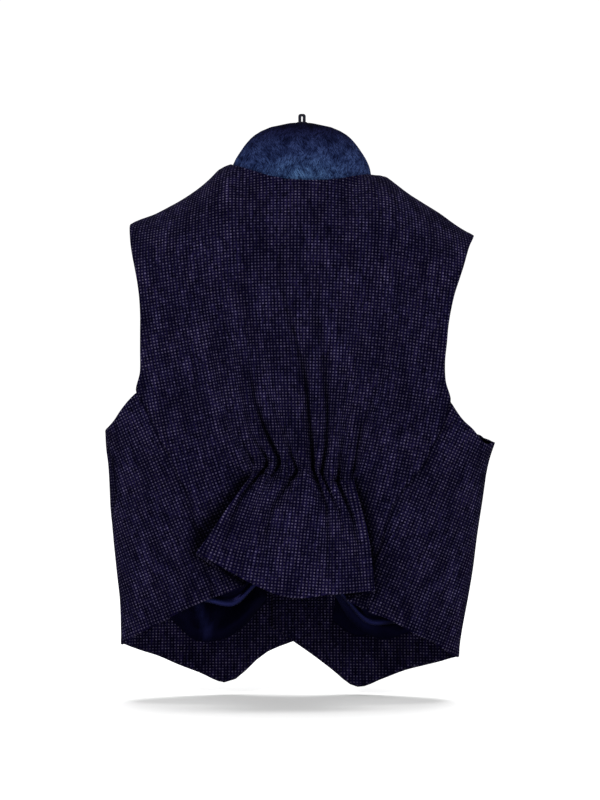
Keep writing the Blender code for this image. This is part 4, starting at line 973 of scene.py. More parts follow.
def distances(grid):
    """How far each point lies from the grid's left, right, top and bottom edge."""
    points = grid[..., :3]
    across = np.linalg.norm(np.diff(points, axis=1), axis=-1)
    across = np.concatenate([np.zeros((len(grid), 1)), np.cumsum(across, axis=1)], axis=1)
    down = np.linalg.norm(np.diff(points, axis=0), axis=-1)
    down = np.concatenate([np.zeros((1, grid.shape[1])), np.cumsum(down, axis=0)], axis=0)
    return {"left": across, "right": across[:, -1:] - across, "top": down, "bottom": down[-1:] - down}


SEAM_DIP = 0.8              # seams are drawn in by this
SEAM_REACH = 1.9
SEAM_SHADE = 0.8            # and are painted darker by this, as painted shade, to the millimetre
EDGE_SWELL = 0.8            # turned edges are thicker by this
EDGE_REACH = 7.0


def along_sides(grid, sides, amount):
    """The most of amount(distance) near the given sides, each with the rows or columns that it takes."""
    away = distances(grid)
    most = np.zeros(grid.shape[:2])
    for side, start, end in sides:
        number = np.arange(grid.shape[0])[:, None] if side in ("left", "right") else np.arange(grid.shape[1])
        most = np.maximum(most, np.where((number >= start) & (number <= end), amount(away[side]), 0.0))
    return most


def seam_dip(grid, seams):
    """Push in along the seams."""
    return -along_sides(grid, seams, lambda away: SEAM_DIP * np.exp(-away / SEAM_REACH))


def edge_swell(grid, edges):
    """How much thicker the cloth is along its turned edges."""
    return along_sides(grid, edges, lambda away: EDGE_SWELL * ease(1.5 - away / EDGE_REACH))


RIM = 4                     # faces round an edge
RIM_SHIFT = 0.3             # of the weave from one of them to the next


def shell(name, grid, thickness, outer, inner, left_out=None, push=None, turned=None, shade=None):
    """A thin closed shell about a fine grid, with round edges. outer and inner are its two materials;
    turned marks the cells where the outer one also faces in."""
    rows, columns = grid.shape[:2]
    normal = outward(grid[..., :3])
    middle = grid[..., :3] if push is None else grid[..., :3] + normal * push[..., None]
    thickness = np.broadcast_to(thickness, (rows, columns))
    index = np.arange(rows * columns).reshape(rows, columns)
    keep = np.ones((rows - 1, columns - 1), bool) if left_out is None else ~left_out
    row, column = np.nonzero(keep)
    cells = np.stack([index[row, column], index[row + 1, column], index[row + 1, column + 1],
                      index[row, column + 1]], axis=1)
    used, place = np.unique(cells, return_inverse=True)
    cells = place.reshape(cells.shape)
    points = middle.reshape(-1, 3)[used]
    half = thickness.reshape(-1, 1)[used] / 2
    out = normal.reshape(-1, 3)[used] * half
    flat = grid[..., 3:5].reshape(-1, 2)[used]
    count = len(used)
    edges = {(int(quad[side]), int(quad[(side + 1) % 4])) for quad in cells for side in range(4)}
    rim = sorted((here, there) for here, there in edges if (there, here) not in edges)
    # the way out of the cloth, in its own plane, at each point of the rim
    away = np.zeros((count, 3))
    for here, there in rim:
        along = points[there] - points[here]
        side = np.cross(along, out[here])
        away[here] += side
        away[there] += side
    here, there = rim[0]
    quad = next(quad for quad in cells if here in quad and there in quad)
    if np.dot(away[here], points[quad].mean(0) - (points[here] + points[there]) / 2) > 0:
        away = -away
    length = np.linalg.norm(away, axis=1, keepdims=True)
    away = np.where(length > 0, away / np.maximum(length, 1e-9), 0.0) * half
    layers = [points + out, points - out]
    faces = [list(quad) for quad in cells] + [[corner + count for corner in quad[::-1]] for quad in cells]
    inside = np.ones(len(cells), int) if turned is None else 1 - turned[row, column].astype(int)
    slots = [0] * len(cells) + inside.tolist()
    uv = [flat, flat]
    rim_points = sorted({corner for edge in rim for corner in edge})
    ring_place = {corner: number for number, corner in enumerate(rim_points)}
    base = 2 * count
    for step in range(1, RIM):
        angle = math.pi * step / RIM
        layers.append(points[rim_points] + math.cos(angle) * out[rim_points]
                      + math.sin(angle) * away[rim_points])
        uv.append(flat[rim_points] + RIM_SHIFT * step)

    def at(corner, step):
        if step == 0:
            return corner
        if step == RIM:
            return corner + count
        return base + (step - 1) * len(rim_points) + ring_place[corner]

    for here, there in rim:
        for step in range(RIM):
            faces.append([at(there, step), at(here, step), at(here, step + 1), at(there, step + 1)])
            slots.append(0)
    if shade is not None:
        shade = shade.ravel()[used]
        shade = np.concatenate([shade, shade] + [shade[rim_points]] * (RIM - 1))
    return mesh_piece(name, np.concatenate(layers), faces, np.concatenate(uv), (outer, inner), slots, shade)


def mesh_piece(name, points, faces, uv, finishes, slots=None, shade=None):
    """A new object that rides on the root, from points in millimetres."""
    mesh = bpy.data.meshes.new(name)
    mesh.from_pydata((points * MM).tolist(), [], [[int(corner) for corner in face] for face in faces])
    for finish in finishes:
        mesh.materials.append(finish)
    if slots is not None:
        mesh.polygons.foreach_set("material_index", np.array(slots, np.int32))
    if uv is not None:
        layer = mesh.uv_layers.new(name="cut")
        corners = np.zeros(len(mesh.loops), np.int32)
        mesh.loops.foreach_get("vertex_index", corners)
        layer.data.foreach_set("uv", (uv[corners] * MM).astype(np.float32).ravel())
    if shade is not None:
        mesh.attributes.new("shade", "FLOAT", "POINT").data.foreach_set("value", shade.astype(np.float32))
    mesh.shade_smooth()
    mesh.update()
    turned = bmesh.new()
    turned.from_mesh(mesh)
    bmesh.ops.recalc_face_normals(turned, faces=turned.faces)
    turned.to_mesh(mesh)
    turned.free()
    made = bpy.data.objects.new(name, mesh)
    bpy.context.scene.collection.objects.link(made)
    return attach(made, "root")


# ---------------------------------------------------------------- materials

class Nodes:
    """Short calls for building a material's node tree."""

    def __init__(self, name):
        self.material = bpy.data.materials.new(name)
        self.material.use_nodes = True
        self.tree = self.material.node_tree
        self.shader = self.tree.nodes["Principled BSDF"]

    def node(self, kind, inputs=None, **settings):
        made = self.tree.nodes.new(kind)
        for name, value in settings.items():
            setattr(made, name, value)
        for place, value in (inputs or {}).items():
            self.link(value, made.inputs[place])
        return made

    def link(self, value, socket):
        if isinstance(value, (int, float)):
            socket.default_value = value
        elif isinstance(value, tuple):
            socket.default_value = value if len(value) == len(socket.default_value) else (*value, 1.0)
        else:
            self.tree.links.new(value, socket)

    def math(self, operation, *values, clamp=False):
        made = self.node("ShaderNodeMath", dict(enumerate(values)), operation=operation, use_clamp=clamp)
        return made.outputs[0]

    def product(self, *values):
        made = values[0]
        for value in values[1:]:
            made = self.math("MULTIPLY", made, value)
        return made

    def total(self, *values, clamp=False):
        return self.math("ADD", *values, clamp=clamp)

    def shade(self):
        return self.node("ShaderNodeAttribute", attribute_name="shade").outputs["Fac"]

    def step(self, value, start, end):
        inputs = {"Value": value, "From Min": start, "From Max": end}
        return self.node("ShaderNodeMapRange", inputs, interpolation_type="SMOOTHSTEP").outputs["Result"]

    def ramp(self, value, low, high, start=0.0, end=1.0):
        inputs = {"Value": value, "From Min": start, "From Max": end, "To Min": low, "To Max": high}
        return self.node("ShaderNodeMapRange", inputs).outputs["Result"]

    def mixed(self, part, start, end, blend="MIX"):
        inputs = {0: part, 6: start, 7: end}
        return self.node("ShaderNodeMix", inputs, data_type="RGBA", blend_type=blend).outputs[2]

    def combined(self, *places):
        return self.node("ShaderNodeCombineXYZ", dict(enumerate(places))).outputs[0]

    def noise(self, place, scale, detail=2.0, rough=0.5):
        inputs = {"Vector": place, "Scale": scale, "Detail": detail, "Roughness": rough}
        return self.node("ShaderNodeTexNoise", inputs).outputs["Fac"]

    def split(self, place):
        return self.node("ShaderNodeSeparateXYZ", {0: place}).outputs

    def cut_place(self):
        return self.node("ShaderNodeUVMap", uv_map="cut").outputs[0]

    def object_place(self):
        return self.node("ShaderNodeTexCoord").outputs["Object"]

    def bump(self, height, distance, strength=1.0, below=None):
        inputs = {"Height": height, "Distance": distance, "Strength": strength}
        if below is not None:
            inputs["Normal"] = below
        return self.node("ShaderNodeBump", inputs).outputs[0]

    def finish(self, **values):
        for name, value in values.items():
            self.link(value, self.shader.inputs[SOCKETS[name]])
        return self.material


SOCKETS = {"colour": "Base Color", "normal": "Normal", "roughness": "Roughness", "metallic": "Metallic",
           "specular": "Specular IOR Level", "specular_tint": "Specular Tint", "coat": "Coat Weight",
           "coat_rough": "Coat Roughness"}
DOT_ACROSS, DOT_UP = 0.00376, 0.00347       # pitch of the dots, in metres
DOT_SIZE = 0.245            # share of the pitch, to the middle of its edge
DOT_SOFT = (0.11, 0.08)     # share of the pitch that the edge takes inside and outside of that
DOT_SQUARE = 2.4            # 2 gives round dots, and more gives squarer ones
WANDER = (0.1, -0.08)       # share of the pitch by which threads sway across and up
GROUND = (0.0006, 0.0003, 0.0042)
GROUND_LIGHT = (0.0044, 0.0031, 0.0185)
DOT = (0.0325, 0.0290, 0.0520)


def suiting_material():
    n = Nodes("suiting_dots")
    u, v, _ = n.split(n.cut_place())
    across, up = n.math("DIVIDE", u, DOT_ACROSS), n.math("DIVIDE", v, DOT_UP)
    warp, weft = n.math("FLOOR", across), n.math("FLOOR", up)
    wander = n.noise(n.combined(u, v), 300.0, 2.0)
    aside = []
    for place, sway in ((across, WANDER[0]), (up, WANDER[1])):
        inside = n.math("FRACT", n.total(place, n.ramp(wander, -sway, sway)))
        inside = n.math("ABSOLUTE", n.math("SUBTRACT", inside, 0.5))
        aside.append(n.math("POWER", inside, DOT_SQUARE))
    distance = n.math("POWER", n.total(*aside), 1 / DOT_SQUARE)
    one = n.node("ShaderNodeTexWhiteNoise", {"Vector": n.combined(warp, weft)},
                 noise_dimensions="2D").outputs["Value"]
    dot = n.math("SUBTRACT", 1.0, n.step(distance, DOT_SIZE - DOT_SOFT[0], DOT_SIZE + DOT_SOFT[1]))
    column = n.noise(n.combined(n.product(warp, 7.31), n.product(v, 38.0)), 1.0, 3.0, 0.6)
    row = n.noise(n.combined(n.product(u, 30.0), n.product(weft, 5.17), 4.0), 1.0, 2.0)
    broad = n.noise(n.combined(n.product(u, 2.2), v, 9.0), 26.0, 3.0)
    slub = n.noise(n.combined(n.product(u, 7.0), n.product(v, 1.6)), 60.0, 3.0, 0.65)
    patch = n.noise(n.combined(u, n.product(v, 0.3), 17.0), 62.0, 3.0, 0.55)
    bright = n.product(n.ramp(column, 0.62, 1.38, 0.3, 0.7), n.ramp(one, 0.42, 1.5),
                       n.ramp(patch, 0.72, 1.3, 0.36, 0.64), n.ramp(row, 0.8, 1.2, 0.3, 0.7))
    thread = n.total(n.ramp(slub, -0.35, 1.0, 0.3, 0.72), n.ramp(column, -0.2, 0.3, 0.3, 0.7), clamp=True)
    ground = n.mixed(n.product(thread, n.ramp(patch, 0.35, 1.5, 0.36, 0.66)), GROUND, GROUND_LIGHT)
    tone = n.mixed(n.step(broad, 0.35, 0.68), (0.80, 0.80, 0.88), (1.2, 1.16, 1.14))
    dots = n.mixed(1.0, n.combined(bright, bright, bright), DOT, "MULTIPLY")
    colour = n.mixed(n.product(dot, 0.94), ground, dots)
    colour = n.mixed(1.0, colour, tone, "MULTIPLY")
    # The shade attribute darkens the cloth as painted shade and painted shadow, and lightens the fan as
    # painted light.
    wear_and_painted_shade = n.ramp(n.shade(), 1.25, 0.16, -0.3, 1.0)
    colour = n.mixed(1.0, colour, n.combined(wear_and_painted_shade, wear_and_painted_shade, wear_and_painted_shade), "MULTIPLY")
    fibre = n.noise(n.combined(n.product(u, 2.0), v), 2400.0, 2.0, 0.7)
    relief = n.total(n.product(dot, 0.5), n.product(fibre, 0.35))
    normal = n.bump(relief, 0.0006, 0.6, n.bump(slub, 0.0008, 0.35))
    return n.finish(colour=colour, normal=normal, roughness=0.9, specular=0.01)


def satin_material():
    n = Nodes("satin")
    u, v, _ = n.split(n.cut_place())
    line = n.noise(n.combined(n.product(u, 40.0), n.product(v, 1.5)), 40.0, 3.0, 0.6)
    soft = n.noise(n.object_place(), 30.0, 2.0)
    colour = n.mixed(soft, (0.00020, 0.00012, 0.0006), (0.0006, 0.0005, 0.0030))
    normal = n.bump(line, 0.0003, 0.15, n.bump(soft, 0.006, 0.25))
    # Painted highlight: where the shade is below zero, a paler blue is mixed into the colour.
    light = n.math("MULTIPLY", n.shade(), -1.0, clamp=True)
    colour = n.mixed(light, colour, (0.0170, 0.0200, 0.0900))
    return n.finish(colour=colour, normal=normal, roughness=n.ramp(soft, 0.24, 0.30), specular=0.045,
                    specular_tint=(0.22, 0.20, 1.0))


def flock_material():
    n = Nodes("flock")
    place = n.object_place()
    x, y, z = n.split(place)
    leaning = []
    for lean in (0.55, -0.45):
        across = n.total(n.product(x, math.cos(lean)), n.product(z, math.sin(lean)))
        along = n.math("SUBTRACT", n.product(z, math.cos(lean)), n.product(x, math.sin(lean)))
        leaning.append(n.noise(n.combined(n.product(across, 2.5), n.product(y, 0.5),
                                          n.product(along, 0.65)), 330.0, 2.0, 0.7))
    which = n.step(n.noise(place, 48.0, 1.0), 0.44, 0.56)
    strokes = n.total(n.product(leaning[0], which),
                     n.product(leaning[1], n.math("SUBTRACT", 1.0, which)))
    grain = n.noise(place, 1300.0, 2.0, 0.6)
    patches = n.noise(place, 75.0, 2.0, 0.6)
    # Painted light and shade: the flock is painted lighter towards the bottom and lightest at the lower
    # middle, as a pool of light, and darker at the top, as painted shade.
    low = n.step(z, -0.010, -0.062)
    centre = n.math("SUBTRACT", 1.0, n.step(n.math("ABSOLUTE", x), 0.0, 0.075))
    base = n.mixed(low, (0.0036, 0.0040, 0.0190), (0.0128, 0.0215, 0.067))
    base = n.mixed(n.product(low, n.step(z, -0.040, -0.074), centre), base, (0.0190, 0.0385, 0.094))
    base = n.mixed(n.step(z, -0.026, -0.008), base, (0.0010, 0.0011, 0.0078))
    shade = n.product(n.ramp(strokes, 0.30, 1.75, 0.39, 0.62), n.ramp(patches, 0.38, 1.45, 0.34, 0.66),
                      n.ramp(grain, 0.7, 1.3, 0.3, 0.7))
    colour = n.mixed(1.0, base, n.combined(shade, shade, n.math("POWER", shade, 0.8)), "MULTIPLY")
    normal = n.bump(strokes, 0.0016, 0.8)
    return n.finish(colour=colour, normal=normal, roughness=0.95, specular=0.012)


def metal_material():
    n = Nodes("dark_metal")
    wear_and_painted_shade = n.noise(n.object_place(), 900.0, 3.0)
    colour = n.mixed(wear_and_painted_shade, (0.003, 0.003, 0.008), (0.014, 0.014, 0.026))
    return n.finish(colour=colour, roughness=n.ramp(wear_and_painted_shade, 0.3, 0.5), metallic=0.4, specular=0.2,
                    normal=n.bump(wear_and_painted_shade, 0.0002, 0.3))


def horn_material():
    n = Nodes("horn")
    swirl = n.noise(n.object_place(), 260.0, 4.0, 0.6)
    colour = n.mixed(swirl, (0.002, 0.002, 0.006), (0.012, 0.010, 0.020))
    return n.finish(colour=colour, roughness=0.3, specular=0.25, coat=0.08, coat_rough=0.2,
                    normal=n.bump(swirl, 0.0003, 0.2))


def thread_material():
    n = Nodes("thread")
    twist = n.noise(n.object_place(), 1800.0, 2.0)
    return n.finish(colour=n.mixed(twist, (0.003, 0.003, 0.010), (0.014, 0.012, 0.035)), roughness=0.7,
                    normal=n.bump(twist, 0.0003, 0.6))


# ---------------------------------------------------------------- the cloth pieces

def swallowed(rows, columns):
    """Width that the gathers hide, for each row and each cell of the centre back."""
    hidden = np.zeros((rows, columns - 1))
    places = [COLUMNS_SIDE + FOLD_COLUMNS_ACROSS // 2]
    first = COLUMNS_SIDE + FOLD_COLUMNS_ACROSS
    places += [first + COLUMNS_FOLD * step for step in range(1, len(FOLDS) - 1)]
    places += [columns - 1 - COLUMNS_SIDE - FOLD_COLUMNS_ACROSS // 2 - 1]
    heights = edge_heights("left")
    shares = np.concatenate([np.zeros(WAIST_ROW), SKIRT_ROWS])
    for row in range(rows):
        if row < WAIST_ROW:
            amount = smooth(SWALLOWED["level"], SWALLOWED["share"], heights[row])
        else:
            amount = smooth(SWALLOWED_BELOW["share"], SWALLOWED_BELOW["left"], shares[row])
        for place, each in zip(places, SWALLOWED_EACH):
            hidden[row, place - 1] += each * amount / 2
            hidden[row, place] += each * amount / 2
    return hidden


def back_piece(suiting, satin):
    coarse = back_centre_grid()
    flat = flatten(coarse, swallowed(*coarse.shape[:2]))
    flat = aligned(coarse, flat, GRAIN_BACK_ROW, coarse.shape[1] // 2, 0.0)
    columns = ([STEPS_SIDE] * COLUMNS_SIDE + [STEPS_BEND] * FOLD_COLUMNS_ACROSS
               + [STEPS_GATHER] * (COLUMNS_FOLD * (len(FOLDS) - 1))
               + [STEPS_BEND] * FOLD_COLUMNS_ACROSS + [STEPS_SIDE] * COLUMNS_SIDE)
    rows = STEPS_ROWS
    grid = refine(with_flat(lifted_fan(coarse), flat), rows, columns)
    last_row, last_column = grid.shape[0] - 1, grid.shape[1] - 1
    armhole = sum(rows[:ROWS_YOKE])
    normal = outward(grid[..., :3])
    seen = ease(-normal[..., 1] / 0.6)
    push, soft = crease_push(grid, rows, columns)
    push *= seen
    beside = np.arange(grid.shape[1])
    beside = np.interp(np.minimum(beside, last_column - beside), np.cumsum([0] + columns),
                       np.arange(len(columns) + 1))
    dip = seam_dip(grid, [("left", armhole, last_row), ("right", armhole, last_row)])
    # Painted shade: darker at the bottom of the creases, softly beside them and along the seams, a painted
    # shadow behind and beside the fan, and the fan painted lighter as painted light.
    shade = np.clip(-push / SHADE_DEPTH, 0.0, 1.0) + SOFT_SHADE * soft * seen
    fan_from = COLUMNS_SIDE + FAN_COLUMN
    shade = np.maximum(shade, fan_shadow(grid) * ease((fan_from - beside) / 1.5))
    fan = ease((beside - fan_from) / 2) * ease((FAN_TOP - grid[..., 2]) / 20)
    shade = np.clip(shade - SEAM_SHADE * dip, 0.0, 1.0) - FAN_PAINTED_LIGHT * fan
    push += dip
    turned_edges = [("left", 0, armhole), ("right", 0, armhole), ("bottom", 0, last_column)]
    turned = np.zeros((last_row, last_column), bool)
    turned[sum(rows[:WAIST_ROW]):] = True
    return shell("back_centre_cloth", grid, CLOTH + edge_swell(grid, turned_edges), suiting, satin, push=push,
                 turned=turned, shade=shade), flat


def panel_piece(name, coarse, grain, steps, suiting, satin, seams, edges, hem_rows, corner=None):
    """A side back or a front. Seams and edges name a side and its coarse rows or columns."""
    flat = aligned(coarse, flatten(coarse), *grain)
    grid = refine(with_flat(coarse, flat), steps, steps, corner)
    seams, edges = [[(side, start * steps, end * steps) for side, start, end in lines]
                    for lines in (seams, edges)]
    turned = np.zeros((grid.shape[0] - 1, grid.shape[1] - 1), bool)
    turned[-hem_rows * steps:] = True
    dip = seam_dip(grid, seams)
    # Painted shade along the seams and the fronts' free edges, and the fan's painted shadow on the side
    # backs.
    shade = -SEAM_SHADE * dip
    if name.startswith("back"):
        shade = np.maximum(shade, fan_shadow(grid))
    else:
        most, reach = FRONT_EDGE_SHADE
        shade = np.maximum(shade, most * np.exp(-distances(grid)["right"] / reach))
    made = shell(name, grid, CLOTH + edge_swell(grid, edges), suiting, satin, push=dip, turned=turned,
                 shade=np.clip(shade, 0.0, 1.0))
    return made, flat


LEAST_OF_BOX = 0.32         # a cut that fills less of its upright box is measured in the smallest turned one


def declare(flat, node, cut=None):
    """Hides a cloth piece's solid and prints its flat size; cut marks the cells that the cloth has, if not
    all.
    """
    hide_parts(node)
    one, other = flat[1:, 1:] - flat[:-1, :-1], flat[:-1, 1:] - flat[1:, :-1]
    cells = np.abs(one[..., 0] * other[..., 1] - one[..., 1] * other[..., 0]) / 2
    cut = np.ones(cells.shape, bool) if cut is None else cut
    area = float(np.sum(cells[cut])) * MM * MM
    corners = flat[1:, 1:], flat[:-1, :-1], flat[:-1, 1:], flat[1:, :-1]
    points = np.concatenate([corner[cut] for corner in corners])
    boxes = [np.ptp(points @ np.array([[math.cos(a), -math.sin(a)], [math.sin(a), math.cos(a)]]), axis=0) * MM
             for a in np.radians(np.arange(0, 90, 1.0))]
    size = boxes[0]
    if area < LEAST_OF_BOX * size[0] * size[1]:
        size = min(boxes, key=lambda box: box[0] * box[1])
    print(node, "cut", size.round(3), "area", round(area, 4))


LINING_DEEPER = 4.5         # the back's lining hangs clear of the creases
LINING_DEEPER_FROM = -520
LOOSE_TO = 132              # how far from the middle it waves
BILLOWS = {                 # way out, depth of the waves and of the hem's roll, and phase
    "left": (-1.0, 2.6, 1.0, 0.9), "right": (-1.0, 2.6, 1.0, 2.1), "back": (1.0, 0.9, 3.4, 0.0),
}
SHEEN = {       # (x, height) along each painted highlight stroke of a front's lining, its reach and strength
    "left": [(((-126, -551), (-120, -567), (-115, -582), (-111, -600)), 4.2, 0.27),
             (((-113, -584), (-104, -592)), 1.3, 0.4)],
    "right": [(((41, -553), (54, -569), (66, -580), (77, -589)), 5.0, 0.11),
              (((80, -593), (89, -597)), 2.8, 0.2)],
}
HEM_SHEEN = {
    "x": (-118, -101, -62, -48, -38, 30, 43, 84, 98), "share": (0, 0.5, 0.42, 0.3, 0, 0.1, 0.26, 0.3, 0),
}
HEM_SHEEN_AT = 2.4          # from the hem, and its width
ROLL_AT, ROLL_WIDTH = 2.6, 3.8      # of the roll along a lining's hanging edge


def sheen(grid, strokes):
    """Marks the painted highlights of a lining, as shade below zero."""
    light = np.zeros(grid.shape[:2])
    for points, reach, strength in strokes:
        x, height = np.array(points, float).T
        for place in np.linspace(0, len(x) - 1, 40):
            near = np.hypot(grid[..., 0] - np.interp(place, range(len(x)), x),
                            grid[..., 2] - np.interp(place, range(len(x)), height))
            light = np.maximum(light, strength * np.exp(-(near / reach)**2))
    return -light


def hem_sheen(grid):
    """The same painted highlight along the roll of the back's lining."""
    across = np.exp(-((distances(grid)["bottom"] - HEM_SHEEN_AT) / HEM_SHEEN_AT)**2)
    return -across * np.interp(grid[..., 0], HEM_SHEEN["x"], HEM_SHEEN["share"])


def billows(grid, towards, wave, roll, phase):
    """Soft waves of a loose lining, and the roll along its hanging edge."""
    u, v = grid[..., 3], grid[..., 4]
    away = distances(grid)
    inside = ease(np.minimum(away["left"], away["right"]) / 14) * ease(away["top"] / 25)
    narrow, wide = np.sin(u / 7.0 + phase + 0.9 * np.sin(v / 24)), np.sin(u / 15 - v / 40 + 2 * phase)
    waves = wave * (1.4 + narrow * 0.7 + wide * 0.7)
    return towards * inside * (waves * ease(1.2 - away["bottom"] / 60) * ease(away["bottom"] / 8)
                               + roll * np.exp(-((away["bottom"] - ROLL_AT) / ROLL_WIDTH)**2))


HOLE_FROM_MIDDLE = 2.0      # of a button
STITCH_HALF_WIDTH = 0.35
STITCH_RADIUS = 0.42
BUTTONHOLE = (-7.0, 11.0, 1.9)      # its two ends from the button's middle, and its half-width
BUTTONHOLE_RADIUS = 0.55
BUTTONHOLE_STANDS = 0.15    # its thread's middle over the cloth
THREAD_SIDES = 6


def tube_faces(rings, sides, closed):
    """Faces between rings of points, and from the last ring to the first one if closed."""
    return [[here * sides + side, here * sides + (side + 1) % sides,
             (here + 1) % rings * sides + (side + 1) % sides, (here + 1) % rings * sides + side]
            for here in range(rings if closed else rings - 1) for side in range(sides)]


def ring_of_thread(name, middles, radius, finish):
    """A closed cord through the given points."""
    sides = THREAD_SIDES
    ahead = np.roll(middles, -1, axis=0) - np.roll(middles, 1, axis=0)
    ahead /= np.linalg.norm(ahead, axis=1, keepdims=True)
    normal = np.cross(middles[0] - middles.mean(0), middles[len(middles) // 4] - middles.mean(0))
    normal /= np.linalg.norm(normal)
    beside = np.cross(ahead, normal)
    turn = np.arange(sides) * 2 * math.pi / sides
    points = (middles[:, None] + radius * (np.cos(turn)[None, :, None] * beside[:, None]
                                           + np.sin(turn)[None, :, None] * normal)).reshape(-1, 3)
    return mesh_piece(name, points, tube_faces(len(middles), sides, True), None, (finish,))


def long_ring(start, end, half_width, steps=10):
    """Outline of a slot with round ends, in its own plane."""
    turn = np.linspace(-math.pi / 2, math.pi / 2, steps)
    right = np.stack([end + half_width * np.cos(turn), half_width * np.sin(turn)], axis=1)
    left = np.stack([start - half_width * np.cos(turn), -half_width * np.sin(turn)], axis=1)
    return np.concatenate([right, left])


def fastening(number, thread):
    """Stitches on a button, and the worked buttonhole that it lies on."""
    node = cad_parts[f"button_{number}"]
    points = np.array([node.matrix_world @ vertex.co for vertex in node.data.vertices]) / MM
    middle = (points.max(0) + points.min(0)) / 2
    out = np.linalg.svd(points - points.mean(0))[2][2]
    out *= np.sign(out[1])
    across = np.cross(np.array([0.0, 0.0, 1.0]), out)
    across /= -np.linalg.norm(across)
    up = np.cross(out, across) * -1.0
    heights = (points - middle) @ out
    top, seat = heights.max() - BUTTON_DISH, heights.min() - BUTTON_CLEAR

    def placed(outline, raised, height):
        return middle + outline[:, :1] * across + (outline[:, 1:] + raised) * up + out * height

    stitch = long_ring(-HOLE_FROM_MIDDLE, HOLE_FROM_MIDDLE, STITCH_HALF_WIDTH, 5)
    for line, side in enumerate((-1.0, 1.0)):
        place = placed(stitch, side * HOLE_FROM_MIDDLE, top)
        ring_of_thread(f"button_{number}_stitch_{line + 1}", place, STITCH_RADIUS, thread)
    place = placed(long_ring(*BUTTONHOLE), 0.0, seat + BUTTONHOLE_STANDS)
    ring_of_thread(f"buttonhole_{number}", place, BUTTONHOLE_RADIUS, thread)


FORM_FINE_SIDES = 120
FORM_FINE_RINGS = 90


def form_piece(flock):
    """The form, finer than its solid."""
    known, sides = FORM["height"], FORM_FINE_SIDES
    heights = np.unique(np.concatenate([np.linspace(known[-1], known[0], FORM_FINE_RINGS), known]))
    rings = []
    for height in heights:
        wide, deep = smooth(known, FORM["wide"], height), smooth(known, FORM["deep"], height)
        points = ring(wide, deep, height, sides, (FORM_MIDDLE, 0.0))
        tilt = ease((height - FORM_TILTS_FROM) / (FORM_TILTED_AT - FORM_TILTS_FROM))
        points[:, 2] -= points[:, 0] * FORM_TILT * tilt
        rings.append(points)
    faces = tube_faces(len(rings), sides, False)
    faces += [list(range(sides))[::-1], list(range((len(rings) - 1) * sides, len(rings) * sides))]
    return mesh_piece("form_flock", np.concatenate(rings), faces, None, (flock,))


def main():
    """Dresses every node of the part."""
    suiting, satin, flock = suiting_material(), satin_material(), flock_material()
    metal, horn, thread = metal_material(), horn_material(), thread_material()

    piece, flat = back_piece(suiting, satin)
    declare(flat, "back_centre")
    end = 99        # past the last row or column
    for side in ("left", "right"):
        piece, flat = panel_piece(
            f"back_side_{side}_cloth", side_back_grid(side), GRAIN_SIDE_BACK[side], STEPS_SIDE_BACK,
            suiting, satin, [("left", 0, end), ("right", 0, end)], [("top", 0, end), ("bottom", 0, end)],
            TURNED_SIDE_BACK)
        declare(flat, f"back_side_{side}")
        piece, flat = panel_piece(
            f"front_{side}_cloth", front_grid(side), GRAIN_FRONT, STEPS_FRONT, suiting, satin,
            [("left", FRONT_ROWS, end)], [("left", 0, FRONT_ROWS), ("right", 0, end), ("bottom", 0, end)],
            ROWS_FACING, FRONT_ROWS)
        declare(flat, f"front_{side}")
        coarse = facing_grid(side)
        flat = aligned(coarse, flatten(coarse), *GRAIN_FACING)
        grid = refine(with_flat(coarse, flat), STEPS_FRONT, STEPS_FRONT)
        bare = np.array([[beside_facing(row, column) for column in range(coarse.shape[1] - 1)]
                         for row in range(coarse.shape[0] - 1)])
        piece = shell(f"facing_{side}_cloth", grid, FACING, suiting, suiting,
                      left_out=bare.repeat(STEPS_FRONT, axis=0).repeat(STEPS_FRONT, axis=1))
        declare(flat, f"facing_{side}", cut=~bare)
        coarse = lining_front_grid(side)
        flat = flatten(coarse)
        grid = refine(with_flat(coarse, flat), *STEPS_LINING)
        piece = shell(f"lining_front_{side}_satin", grid, LINING, satin, satin,
                      push=billows(grid, *BILLOWS[side]), shade=sheen(grid, SHEEN[side]))
        declare(flat, f"lining_front_{side}")
    coarse = lining_back_grid()
    flat = flatten(coarse)
    grid = refine(with_flat(coarse, flat), *STEPS_LINING_BACK)
    middle = ease(1.35 - np.abs(grid[..., 0]) / 100)
    grid[..., 1] += LINING_DEEPER * middle * ease((grid[..., 2] - LINING_DEEPER_FROM) / 60)
    loose = billows(grid, *BILLOWS["back"]) * ease((LOOSE_TO - np.abs(grid[..., 0])) / 30)
    piece = shell("lining_back_satin", grid, LINING, satin, satin, push=loose, shade=hem_sheen(grid))
    declare(flat, "lining_back")

    piece = form_piece(flock)
    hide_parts("bust_form")
    for name, finish in [("hang_stud", metal)] + [(f"button_{number}", horn) for number in range(1, 6)]:
        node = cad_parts[name]
        node.data.materials.clear()
        node.data.materials.append(finish)
    for number in range(1, 6):
        fastening(number, thread)


# ---------------------------------------------------------------- stage

CAMERA = (-0.0023, -2.2, -0.323)
SPAN = 0.92                 # height of the picture at the object, in metres
FLOOR = -0.668
FLOOR_REACH = 12.0
WORLD_LIGHT = 0.30
WORLD_SHOWN = 1.05          # the same behind the object, in plain view
SUN = 2.9
SUN_ANGLE = 42
SUN_FROM = (0.06, 0.18, 1.0)        # overhead, a little from the front of the garment
LAMP_AIM = (0, 0, -0.35)
LAMPS = (("key", (-1.5, -1.7, 0.9), 0.8, 40.0), ("fill", (1.6, -1.7, 0.3), 1.2, 24.0))  # place, size, power


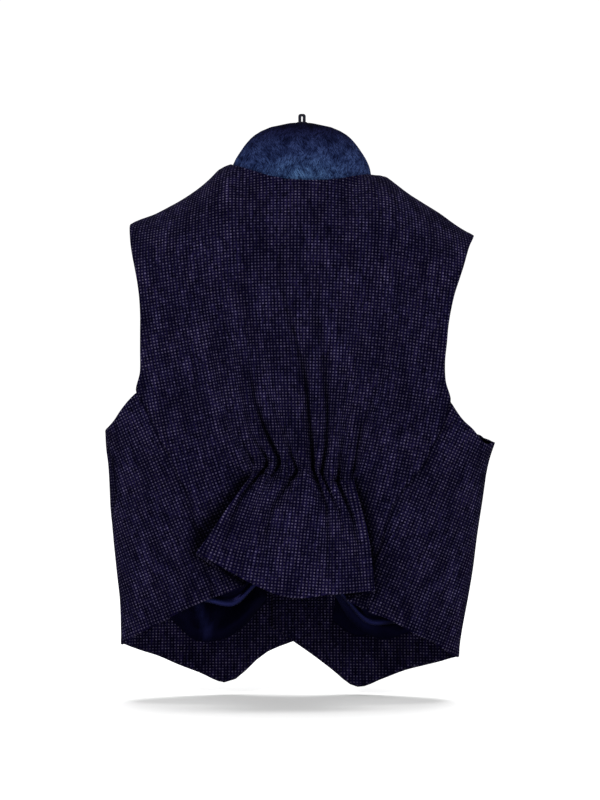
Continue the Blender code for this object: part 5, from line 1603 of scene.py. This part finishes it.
def stage():
    """Camera, white surroundings, floor and lamps."""
    camera = bpy.data.cameras.new("camera")
    camera.sensor_width = 36.0
    camera.lens = 36.0 * -CAMERA[1] / SPAN
    eye = bpy.data.objects.new("camera", camera)
    eye.location = CAMERA
    eye.rotation_euler = (math.pi / 2, 0.0, 0.0)
    bpy.context.scene.collection.objects.link(eye)
    bpy.context.scene.camera = eye

    world = bpy.data.worlds.new("studio")
    world.use_nodes = True
    tree = world.node_tree
    ray = tree.nodes.new("ShaderNodeLightPath")
    strength = tree.nodes.new("ShaderNodeMapRange")
    strength.inputs["To Min"].default_value = WORLD_LIGHT
    strength.inputs["To Max"].default_value = WORLD_SHOWN
    tree.links.new(ray.outputs["Is Camera Ray"], strength.inputs["Value"])
    tree.nodes["Background"].inputs[0].default_value = (1.0, 1.0, 1.0, 1.0)
    tree.links.new(strength.outputs[0], tree.nodes["Background"].inputs[1])
    bpy.context.scene.world = world
    bpy.context.scene.view_settings.view_transform = "Standard"

    floor_mesh = bpy.data.meshes.new("floor")
    corners = [(x * FLOOR_REACH, y * FLOOR_REACH, FLOOR) for x, y in ((-1, -1), (1, -1), (1, 1), (-1, 1))]
    floor_mesh.from_pydata(corners, [], [(0, 1, 2, 3)])
    floor = bpy.data.objects.new("floor", floor_mesh)
    bpy.context.scene.collection.objects.link(floor)
    n = Nodes("pale_floor")
    floor_mesh.materials.append(n.finish(colour=(0.94, 0.94, 0.94), roughness=0.9, specular=0.0))

    sun = bpy.data.lights.new("sun", "SUN")
    sun.energy = SUN
    sun.angle = math.radians(SUN_ANGLE)
    lamps = [("sun", sun, SUN_FROM, (0, 0, 0))]
    for name, place, size, power in LAMPS:
        lamp = bpy.data.lights.new(name, "AREA")
        lamp.shape = "SQUARE"
        lamp.size = size
        lamp.energy = power
        lamps.append((name, lamp, place, LAMP_AIM))
    for name, lamp, place, aim in lamps:
        shown = bpy.data.objects.new(name, lamp)
        shown.location = place
        shown.rotation_euler = (Vector(aim) - Vector(place)).to_track_quat("-Z", "Y").to_euler()
        bpy.context.scene.collection.objects.link(shown)


main()
stage()
